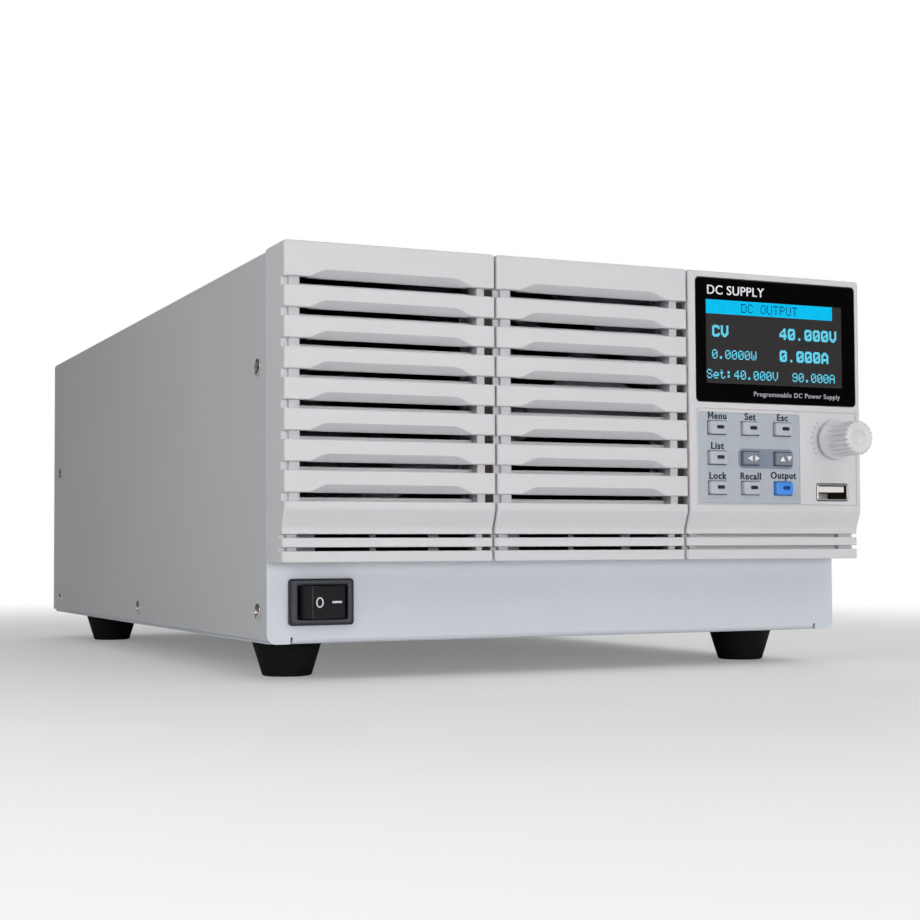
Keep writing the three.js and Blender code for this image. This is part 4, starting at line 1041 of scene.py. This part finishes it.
# dots on the left of the knob: the direction marks
bm = bmesh.new()
for i in range(7):
    a = math.radians(139 + i * 12.3)
    r = 8.9
    d = 0.42
    px, pz = kx + r * math.cos(a), kz + r * math.sin(a)
    ring = [[W(px + d * math.cos(math.tau * j / 16), y, pz + d * math.sin(math.tau * j / 16)) for j in range(16)] for y in (0.02, -0.008)]
    vs = [[bm.verts.new(p) for p in lp] for lp in ring]
    for j in range(16):
        bm.faces.new((vs[0][j], vs[0][(j + 1) % 16], vs[1][(j + 1) % 16], vs[1][j]))
    bm.faces.new(vs[0])
    bm.faces.new(vs[1])
from_bm("knob_scale_dots", bm, M["ink_faint"], CH)

# ------------------------------------------------------------------ USB socket
lo, hi = box_mm("usb_port_shell")
ux0, ux1, uz0, uz1 = lo[0], hi[0], lo[2], hi[2]
uy0, uy1 = lo[1] - Y0, hi[1] - Y0
loops = []
for inset, y in (
    (0.0, uy1), (0.0, uy0 + 0.12), (0.04, uy0 + 0.03), (0.14, uy0), (0.30, uy0 + 0.02), (0.38, uy0 + 0.10), (0.42, uy0 + 0.3), (0.42, 12.8),
):
    loops.append([W(x, y, z) for x, z in rrect(ux0 + inset, ux1 - inset, uz0 + inset, uz1 - inset, max(0.25, 0.7 - inset), 6)])
shell = from_bm("socket_shell", loops_to_bm(loops), M["steel"], CH)
smooth_by_angle(shell, 40)
# the deep inner faces get the darker brown metal: painted shade inside the socket
shell.data.materials.append(M["socket_dark"])
for f in shell.data.polygons:
    deep = max(shell.data.vertices[i].co.y for i in f.vertices) > W(0, uy0 + 0.5, 0)[1]
    inside = all(abs(shell.data.vertices[i].co.x - W((ux0 + ux1) / 2, 0, 0)[0]) < ((ux1 - ux0) / 2 - 0.3) * MM and abs(shell.data.vertices[i].co.z - W(0, 0, (uz0 + uz1) / 2)[2]) < ((uz1 - uz0) / 2 - 0.3) * MM for i in f.vertices)
    if deep and inside:
        f.material_index = 1
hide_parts("usb_port_shell")
bm = bmesh.new()
tl, th = box_mm("usb_port_tongue")
for i in range(4):
    x = (ux0 + ux1) / 2 + (i - 1.5) * 2.5
    zc = uz0 + 2.9
    add_box(bm, x - 0.5, x + 0.5, 1.6, 10.0, zc - 0.06, zc + 0.05)
from_bm("socket_contacts", bm, M["gold"], CH)

# ------------------------------------------------------------------ mains switch
lo, hi = box_mm("switch_housing")
sx0, sx1, sz0, sz1 = lo[0], hi[0], lo[2], hi[2]
sy = lo[1] - Y0
rx = -89.1
ox0, ox1, oz0, oz1 = rx - 8.25, rx + 8.25, 19.75, 30.45
loops = []
for inset, y, r in ((0.0, 17.58, 1.1), (0.0, sy + 0.75, 1.1), (0.08, sy + 0.4, 1.05), (0.28, sy + 0.12, 0.95), (0.55, sy, 0.8)):
    loops.append([W(x, y, z) for x, z in rrect(sx0 + inset, sx1 - inset, sz0 + inset, sz1 - inset, r, 6)])
for grow, y, r in ((0.35, sy, 0.75), (0.12, sy + 0.08, 0.6), (0.0, sy + 0.3, 0.5), (0.0, 28.6, 0.5)):
    loops.append([W(x, y, z) for x, z in rrect(ox0 - grow, ox1 + grow, oz0 - grow, oz1 + grow, r, 6)])
bm = bmesh.new()
rings = [[bm.verts.new(p) for p in lp] for lp in loops]
body_loops = [[W(x, y, z) for x, z in rrect(rx - 9.5, rx + 9.3, 18.9, 31.3, 0.4, 6)] for y in (17.58, 30.4)]
brings = [[bm.verts.new(p) for p in lp] for lp in body_loops]
n = len(rings[0])
for a, b in list(zip(rings, rings[1:])) + [(brings[0], rings[0]), (brings[1], brings[0])]:
    for i in range(n):
        j = (i + 1) % n
        bm.faces.new((a[i], a[j], b[j], b[i]))
bm.faces.new(rings[-1])
bm.faces.new(brings[1])
hs = from_bm("switch_frame", bm, M["switch"], CH)
smooth_by_angle(hs, 40)
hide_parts("switch_housing")
bm = bmesh.new()
for dx in (-7, 0, 7):
    add_box(bm, rx + dx - 0.4, rx + dx + 0.4, 30.3, 38.4, 25.1 - 2.4, 25.1 + 2.4)
bmesh.ops.bevel(bm, geom=bm.edges[:], offset=0.12 * MM, segments=2, affect="EDGES", profile=0.5)
from_bm("switch_tabs", bm, M["zinc"], CH)

# marks on the rocker's face, which is tilted
lo, hi = box_mm("switch_rocker")
TILT, PIV, H = math.radians(14), 18.6, 5.0


def on_rocker(u, v, out):
    """u along the face, v up, out of the face."""
    a, b = u, -(H + out)
    return W(rx + a * math.cos(TILT) - b * math.sin(TILT), PIV + a * math.sin(TILT) + b * math.cos(TILT), 25.1 + v)


bm = bmesh.new()
seg = 40
rings = []
for ra, rb, out in ((1.45, 2.05, -0.05), (1.45, 2.05, 0.02), (0.98, 1.55, 0.02), (0.98, 1.55, -0.05)):
    rings.append([bm.verts.new(on_rocker(-3.35 + ra * 0.95 * math.cos(math.tau * i / seg), rb * 0.8 * math.sin(math.tau * i / seg), out)) for i in range(seg)])
for a, b in list(zip(rings, rings[1:])) + [(rings[-1], rings[0])]:
    for i in range(seg):
        j = (i + 1) % seg
        bm.faces.new((a[i], a[j], b[j], b[i]))
from_bm("rocker_mark_off", bm, M["ink_white"], "mains_rocker")
bm = bmesh.new()
vs = [bm.verts.new(on_rocker(u, v, o)) for u in (1.3, 4.9) for v in (-0.32, 0.32) for o in (-0.05, 0.02)]
for f in ((0, 1, 3, 2), (4, 6, 7, 5), (0, 4, 5, 1), (2, 3, 7, 6), (0, 2, 6, 4), (1, 5, 7, 3)):
    bm.faces.new([vs[i] for i in f])
from_bm("rocker_mark_on", bm, M["ink_white"], "mains_rocker")


# ------------------------------------------------------------------ feet
def foot(node):
    lo, hi = box_mm(node)
    cx, cy = (lo[0] + hi[0]) / 2, (lo[1] + hi[1]) / 2
    rt, ztop = (hi[0] - lo[0]) / 2, hi[2]
    rb = 8.4
    prof = [(0, ztop), (rt - 0.3, ztop), (rt - 0.05, ztop - 0.15), (rt - 0.06, ztop - 0.6)]
    for t in (0.3, 0.55, 0.8):
        z = ztop - 0.6 - (ztop - 0.6 - 1.4) * t
        prof.append((rt - 0.06 + (rb - rt + 0.06) * t * 0.95, z))
    for a in (0, 20, 40, 60, 80, 90):
        c = math.radians(a)
        prof.append((rb - 1.0 + 1.0 * math.cos(c), 1.0 - 1.0 * math.sin(c)))
    prof += [(4.6, 0), (4.25, 0.15), (4.2, 0.5), (4.2, 6.4), (2.0, 6.4), (2.0, ztop - 0.4), (0, ztop - 0.4)]
    # the bore stays open to the recess; the top is closed by the chassis sheet
    bm = lathe_bm(prof[:-1] + [(1.9, ztop - 0.4), (0, ztop - 0.4)], 72, lambda x, y, h: Vector(((cx + x) * MM, (cy + y) * MM, h * MM)))
    o = from_bm("rubber_" + node, bm, M["rubber"], CH)
    smooth_by_angle(o, 40)
    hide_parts(node)
    return cx, cy


def cross_screw(name, radius, height, shank, shank_len, place, mat, body, seg=48, rim=0.28, arm=0.62, wide=0.13, deep=0.72):
    """Pan-head screw with a cross recess; head along +h from 0."""
    R, Hh = radius, height
    prof = [(0, -shank_len), (shank * 0.7, -shank_len), (shank, -shank_len + 0.5), (shank, 0), (R - 0.1, 0), (R, 0.06), (R, Hh * rim)]
    for a in (12, 24, 36, 48, 60, 72):
        c = math.radians(a)
        prof.append((R * (0.30 + 0.70 * math.cos(c)), Hh * (rim + (0.97 - rim) * math.sin(c))))
    prof += [(R * 0.38, Hh), (0, Hh)]
    bm = lathe_bm(prof, seg, lambda x, y, h: Vector((x * MM, y * MM, h * MM)))
    bmesh.ops.recalc_face_normals(bm, faces=bm.faces)
    me = bpy.data.meshes.new(name)
    bm.to_mesh(me)
    bm.free()
    o = bpy.data.objects.new(name, me)
    sc.collection.objects.link(o)
    for turn in (0, 90):
        b = bmesh.new()
        L, t, dp = R * arm, R * wide, deep * Hh
        top = [(-L, -t), (L, -t), (L, t), (-L, t)]
        low = [(-L * 0.45, -t * 0.8), (L * 0.45, -t * 0.8), (L * 0.45, t * 0.8), (-L * 0.45, t * 0.8)]
        rot = Matrix.Rotation(math.radians(turn), 4, "Z")
        vt = [b.verts.new(rot @ Vector((x * MM * 1.06, y * MM, (Hh + 0.15) * MM))) for x, y in top]
        vl = [b.verts.new(rot @ Vector((x * MM, y * MM, (Hh - dp) * MM))) for x, y in low]
        for i in range(4):
            j = (i + 1) % 4
            b.faces.new((vt[i], vt[j], vl[j], vl[i]))
        b.faces.new(vt)
        b.faces.new(vl)
        boolean_cut(o, temp_obj(b))
    me = o.data
    bpy.data.objects.remove(o)
    out = []
    for nm, mx in place:
        m2 = me.copy()
        m2.transform(mx)
        m2.materials.clear()
        ob = link_obj(nm, m2, mat, body)
        smooth_by_angle(ob, 38)
        out.append(ob)
    return out


FOOT_AT = {}
for n in ("foot_front_left", "foot_front_right", "foot_rear_left", "foot_rear_right"):
    FOOT_AT[n] = foot(n)
place = []
for n, (cx, cy) in FOOT_AT.items():
    place.append(("screw_" + n, Matrix.Translation(Vector((cx * MM, cy * MM, 6.35 * MM))) @ Matrix.Rotation(math.pi, 4, "X")))
cross_screw("foot_screw", 3.4, 2.0, 1.6, 7.5, place, M["screw"], CH)

place, reps = [], []
for side, sg in (("left", -1), ("right", 1)):
    for i in range(1, 6):
        n = "cover_screw_%s_%d" % (side, i)
        lo, hi = box_mm(n)
        cy, cz = (lo[1] + hi[1]) / 2, (lo[2] + hi[2]) / 2
        face = box_mm("top_cover")[1][0] * sg
        twist = math.radians(8 + 31 * i + (40 if sg > 0 else 0))
        mx = (
            Matrix.Translation(Vector((face * MM, cy * MM, cz * MM)))
            @ Matrix.Rotation(sg * math.pi / 2, 4, "Y")
            @ Matrix.Rotation(twist, 4, "Z")
        )
        place.append(("pan_head_%s_%d" % (side, i), mx))
        reps.append(n)
for ob, n in zip(cross_screw("cover_screw", 2.85, 0.75, 1.5, 6.0, place, M["screw"], CH, rim=0.35, arm=0.72, wide=0.2, deep=1.9), reps):
    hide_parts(n)

# ------------------------------------------------------------------ rear details
lo, hi = box_mm("rear_panel")
RY = hi[1] - Y0
BACK = Matrix.Rotation(math.radians(-90), 4, "X")


def rear_at(x, z, y=None):
    return Matrix.Translation(W(x, RY if y is None else y, z)) @ BACK


place = []
for s_ in ("left", "middle", "right"):
    lo, hi = box_mm("fan_frame_" + s_)
    fx, fz = (lo[0] + hi[0]) / 2, (lo[2] + hi[2]) / 2
    for i, (dx, dz) in enumerate(((-25, -25), (25, -25), (25, 25), (-25, 25))):
        place.append(("fan_screw_%s_%d" % (s_, i), rear_at(fx + dx, fz + dz) @ Matrix.Rotation(0.5 + i + fx, 4, "Z")))
for i, (x, z) in enumerate(((-101, 128.5), (0, 131), (101, 128.5), (-101, 19.5), (-50, 17.5), (20, 17.5), (101.5, 19.5))):
    place.append(("panel_screw_%d" % i, rear_at(x, z) @ Matrix.Rotation(0.3 + 0.8 * i, 4, "Z")))
cross_screw("rear_screw", 2.6, 1.2, 1.4, 2.2, place, M["screw"], CH, rim=0.3, arm=0.66, wide=0.16, deep=0.8)
lo, hi = box_mm("ac_inlet")
ix, iz, iy = (lo[0] + hi[0]) / 2, (lo[2] + hi[2]) / 2, hi[1] - Y0
place = [("inlet_screw_%d" % i, rear_at(ix + dx, iz, iy) @ Matrix.Rotation(0.4 + dx, 4, "Z")) for i, dx in enumerate((-20, 20))]
cross_screw("inlet_screw", 2.5, 0.8, 1.4, 3.0, place, M["screw"], CH, rim=0.3, arm=0.66, wide=0.16, deep=1.0)

# metal sleeves on the inlet pins
bm = bmesh.new()
for dx, dz in ((-7, -1.4), (7, -1.4), (0, 2.8)):
    add_box(bm, ix + dx - 1.16, ix + dx + 1.16, 352.5, 366.56, iz + dz - 2.16, iz + dz + 2.16)
bmesh.ops.bevel(bm, geom=bm.edges[:], offset=0.25 * MM, segments=2, affect="EDGES", profile=0.5)
from_bm("inlet_pins", bm, M["zinc"], CH)

# network jack: eight contacts and two lamps
lo, hi = box_mm("lan_jack")
jx, jz, jy = (lo[0] + hi[0]) / 2, (lo[2] + hi[2]) / 2, hi[1] - Y0
bm = bmesh.new()
for i in range(8):
    x = jx + (i - 3.5) * 1.02
    add_box(bm, x - 0.2, x + 0.2, jy - 11, jy - 1.2, jz + 4.0, jz + 4.45)
from_bm("network_contacts", bm, M["gold"], CH)
for nm, dx, mt in (("network_lamp_green", -4.7, "green"), ("network_lamp_amber", 4.7, "amber")):
    bm = bmesh.new()
    add_box(bm, jx + dx - 1.3, jx + dx + 1.3, jy - 0.3, jy + 0.12, jz + 5.0, jz + 6.3)
    bmesh.ops.bevel(bm, geom=bm.edges[:], offset=0.06 * MM, segments=2, affect="EDGES", profile=0.5)
    from_bm(nm, bm, M[mt], CH)

# square contacts of the device socket
lo, hi = box_mm("usb_device_jack")
bx, bz, by = (lo[0] + hi[0]) / 2, (lo[2] + hi[2]) / 2, hi[1] - Y0
bm = bmesh.new()
for dx in (-1.3, 1.3):
    for dz in (-1.68, 1.62):
        add_box(bm, bx + dx - 0.45, bx + dx + 0.45, by - 9, by - 2.2, bz + dz - 0.06, bz + dz + 0.06)
from_bm("device_socket_contacts", bm, M["gold"], CH)

# analogue connector: two rows of pins
lo, hi = box_mm("analog_connector")
cx, cz, cy = (lo[0] + hi[0]) / 2, (lo[2] + hi[2]) / 2, hi[1] - Y0
bm = bmesh.new()
for i in range(13):
    for dz in (-1.27, 1.27):
        x = cx + (i - 6) * 2.54
        add_box(bm, x - 0.32, x + 0.32, cy - 9.6, cy - 1.6, cz + dz - 0.32, cz + dz + 0.32)
from_bm("analogue_pins", bm, M["gold"], CH)

# clamp screws of the sensing connector
lo, hi = box_mm("sense_connector")
sx_, sz_ = (lo[0] + hi[0]) / 2, (lo[2] + hi[2]) / 2
place = []
for k_ in range(5):
    zz = sz_ - 10.16 + k_ * 5.08
    place.append(("clamp_screw_%d" % k_, Matrix.Translation(W(lo[0] + 0.7, RY + 5.4, zz)) @ Matrix.Rotation(-math.pi / 2, 4, "Y") @ Matrix.Rotation(0.4 * k_, 4, "Z")))
cross_screw("clamp_screw", 1.42, 0.6, 0.9, 1.2, place, M["screw"], CH, seg=32, rim=0.5, arm=0.8, wide=0.16, deep=0.8)

# output cover: raised ribs, polarity marks and two fixing screws
lo, hi = box_mm("terminal_cover")
cx0, cx1, cz0, cz1, cyb = lo[0], hi[0], lo[2], hi[2], hi[1] - Y0
bm = bmesh.new()
for i in range(7):
    z = cz1 - 9.5 - 2.6 * i
    add_box(bm, cx0 + 7, cx1 - 7, cyb - 0.4, cyb + 0.35, z - 0.55, z + 0.55)
bmesh.ops.bevel(bm, geom=bm.edges[:], offset=0.25 * MM, segments=2, affect="EDGES", profile=0.5)
from_bm("cover_ribs", bm, M["insulator"], CH)
pl_, ph_ = box_mm("terminal_positive")
nl_, nh_ = box_mm("terminal_negative")
px_, nx_ = (pl_[0] + ph_[0]) / 2, (nl_[0] + nh_[0]) / 2
text_piece("mark_positive", "+", px_, cz1 - 7.6, 5.0, cyb + 0.02, M["ink_red"], CH, thick=0.06, bold=0.12, facing="back")
text_piece("mark_negative", "-", nx_, cz1 - 7.4, 5.0, cyb + 0.02, M["ink_white"], CH, thick=0.06, bold=0.12, facing="back")
place = [("output_cover_screw_%d" % i, Matrix.Translation(W(x, RY + 12.0, cz1)) @ Matrix.Rotation(0.7 + i, 4, "Z")) for i, x in enumerate((cx0 + 8, cx1 - 8))]
cross_screw("output_cover_screw", 2.6, 1.1, 1.3, 2.6, place, M["screw"], CH, rim=0.3, arm=0.66, wide=0.16, deep=0.8)

for nm, txt, x, z, h in (
    ("rear_legend_mains", "AC INPUT", ix, iz + 14.6, 2.6),
    ("rear_legend_network", "LAN", jx, jz - 11.0, 2.2),
    ("rear_legend_device", "USB", bx, bz - 11.0, 2.2),
    ("rear_legend_analogue", "ANALOG I/O", cx, cz + 6.6, 2.2),
    ("rear_legend_sense", "SENSE", sx_, sz_ + 16.3, 2.2),
    ("rear_legend_output", "DC OUTPUT", (cx0 + cx1) / 2, cz1 + 3.4, 2.6),
):
    text_piece(nm, txt, x, z, h, RY + 0.012, M["ink_dark"], CH, thick=0.01, bold=0.04, facing="back", spacing=1.05)

# ------------------------------------------------------------------ stage, light, camera
def floor_material():
    """Pale matt floor that melts into the backdrop away from the object; near the object a painted white glow still
    makes up a fifth of it and lightens the cast shadows.
    """
    m = Mat("mat_floor").set(color=srgb(244, 244, 244), rough=0.6, spec=0.15)
    f = m.noise(90, 3, 0.5)
    m.color_from(m.mix_color(m.ramp(f, 0.3, 0.7), srgb(242, 242, 242), srgb(247, 247, 247)))
    m.bump(m.noise(2.5, 2, 0.5), 0.02, 0.15)
    ln = m.n("ShaderNodeVectorMath", operation="LENGTH")
    mp = m.n("ShaderNodeMapping")
    mp.inputs["Scale"].default_value = (1.0, 0.8, 1.0)
    mp.inputs["Location"].default_value = (0.0, 0.0, 0.0)
    m.link(m.coord.outputs["Object"], mp.inputs["Vector"])
    m.link(mp.outputs["Vector"], ln.inputs[0])
    far = m.n("ShaderNodeMapRange", interpolation_type="SMOOTHSTEP")
    far.inputs["From Min"].default_value = 0.20
    far.inputs["From Max"].default_value = 0.62
    # painted light: camera rays keep a fifth of white glow even beside the object, lightening its shadows
    far.inputs["To Min"].default_value = 0.2
    m.link(ln.outputs["Value"], far.inputs["Value"])
    lpn = m.n("ShaderNodeLightPath")
    k = m.math("MULTIPLY", far.outputs["Result"], lpn.outputs["Is Camera Ray"])
    em = m.n("ShaderNodeEmission")
    em.inputs["Color"].default_value = (1, 1, 1, 1)
    mx = m.n("ShaderNodeMixShader")
    m.link(k, mx.inputs[0])
    m.link(m.p.outputs[0], mx.inputs[1])
    m.link(em.outputs[0], mx.inputs[2])
    m.link(mx.outputs[0], m.t.nodes["Material Output"].inputs["Surface"])
    return m.m


bm = bmesh.new()
S = 30.0
grid = [[bm.verts.new((-S + 2 * S * i / 8, -S + 2 * S * j / 8, 0)) for j in range(9)] for i in range(9)]
for i in range(8):
    for j in range(8):
        bm.faces.new((grid[i][j], grid[i + 1][j], grid[i + 1][j + 1], grid[i][j + 1]))
me = bpy.data.meshes.new("floor")
bm.to_mesh(me)
bm.free()
floor = bpy.data.objects.new("floor", me)
me.materials.append(floor_material())
sc.collection.objects.link(floor)

ROOM = (0.08, 0.20)
KEY, LOW, SIDE, TOP = 3.3, 7.9, 1.08, 20.0
world = bpy.data.worlds.new("studio")
sc.world = world
world.use_nodes = True
wt = world.node_tree
bg = wt.nodes["Background"]
out = wt.nodes["World Output"]
bg.inputs["Color"].default_value = (1.0, 1.0, 1.0, 1.0)
bg.inputs["Strength"].default_value = 1.0
# the room as the object sees it: dim walls, brighter overhead, dark where the window would mirror it
tc = wt.nodes.new("ShaderNodeTexCoord")
sep = wt.nodes.new("ShaderNodeSeparateXYZ")
wt.links.new(tc.outputs["Generated"], sep.inputs[0])
mr = wt.nodes.new("ShaderNodeMapRange")
mr.inputs["From Min"].default_value = 0.05
mr.inputs["From Max"].default_value = 0.7
mr.inputs["To Min"].default_value = ROOM[0]
mr.inputs["To Max"].default_value = ROOM[1]
wt.links.new(sep.outputs["Z"], mr.inputs["Value"])
dot = wt.nodes.new("ShaderNodeVectorMath")
dot.operation = "DOT_PRODUCT"
wt.links.new(tc.outputs["Generated"], dot.inputs[0])
dot.inputs[1].default_value = Vector((0.57, -0.82, 0.04)).normalized()
dk = wt.nodes.new("ShaderNodeMapRange")
dk.inputs["From Min"].default_value = 0.80
dk.inputs["From Max"].default_value = 0.93
dk.inputs["To Min"].default_value = 1.0
dk.inputs["To Max"].default_value = 0.03
wt.links.new(dot.outputs["Value"], dk.inputs["Value"])
mul = wt.nodes.new("ShaderNodeMath")
mul.operation = "MULTIPLY"
wt.links.new(mr.outputs["Result"], mul.inputs[0])
wt.links.new(dk.outputs["Result"], mul.inputs[1])
room = wt.nodes.new("ShaderNodeBackground")
wt.links.new(mul.outputs[0], room.inputs["Strength"])
lp = wt.nodes.new("ShaderNodeLightPath")
mixs = wt.nodes.new("ShaderNodeMixShader")
wt.links.new(lp.outputs["Is Camera Ray"], mixs.inputs[0])
wt.links.new(room.outputs[0], mixs.inputs[1])
wt.links.new(bg.outputs[0], mixs.inputs[2])
wt.links.new(mixs.outputs[0], out.inputs["Surface"])


def area(name, loc, target, size, power, color=(1, 1, 1)):
    li = bpy.data.lights.new(name, "AREA")
    li.shape = "RECTANGLE"
    li.size, li.size_y = size
    li.energy = power
    li.color = color
    o = bpy.data.objects.new(name, li)
    o.location = loc
    d = Vector(target) - Vector(loc)
    o.rotation_euler = d.to_track_quat("-Z", "Y").to_euler()
    sc.collection.objects.link(o)
    return o


area("key_front", (0.66, -1.27, 1.05), (0.02, -0.15, 0.07), (1.2, 0.8), KEY)
area("low_front", (0.26, -1.72, 0.16), (0.02, -0.2, 0.06), (1.1, 0.29), LOW)
area("side_front", (-0.58, -0.42, 0.30), (-0.1, -0.12, 0.06), (0.3, 0.3), SIDE)
area("top_soft", (0.25, -0.45, 2.0), (0.1, -0.3, 0.0), (3.4, 3.4), TOP)
area("back_soft", (0.8, 1.5, 0.9), (0.0, 0.1, 0.05), (1.4, 0.9), 6.0)

cam_data = bpy.data.cameras.new("camera")
cam = bpy.data.objects.new("camera", cam_data)
sc.collection.objects.link(cam)
yaw, pitch, roll = math.radians(24.46), math.radians(2.342), math.radians(-0.301)
fwd = Vector((math.sin(yaw) * math.cos(pitch), math.cos(yaw) * math.cos(pitch), math.sin(pitch)))
right = Vector((math.cos(yaw), -math.sin(yaw), 0))
up = right.cross(fwd)
r2 = right * math.cos(roll) + up * math.sin(roll)
u2 = -right * math.sin(roll) + up * math.cos(roll)
mx = Matrix((
    (r2.x, u2.x, -fwd.x, 0),
    (r2.y, u2.y, -fwd.y, 0),
    (r2.z, u2.z, -fwd.z, 0),
    (0, 0, 0, 1),
))
cam.matrix_world = Matrix.Translation(W(-265.5, -481.9, 40.71)) @ mx
cam_data.sensor_width = 36.0
cam_data.lens = 1673.3 * 36.0 / 920.0
cam_data.shift_x = (460.0 - 467.5) / 920.0
cam_data.shift_y = (483.17 - 460.0) / 920.0
cam_data.clip_start = 0.01
cam_data.clip_end = 100
sc.camera = cam
sc.view_settings.view_transform = "Standard"
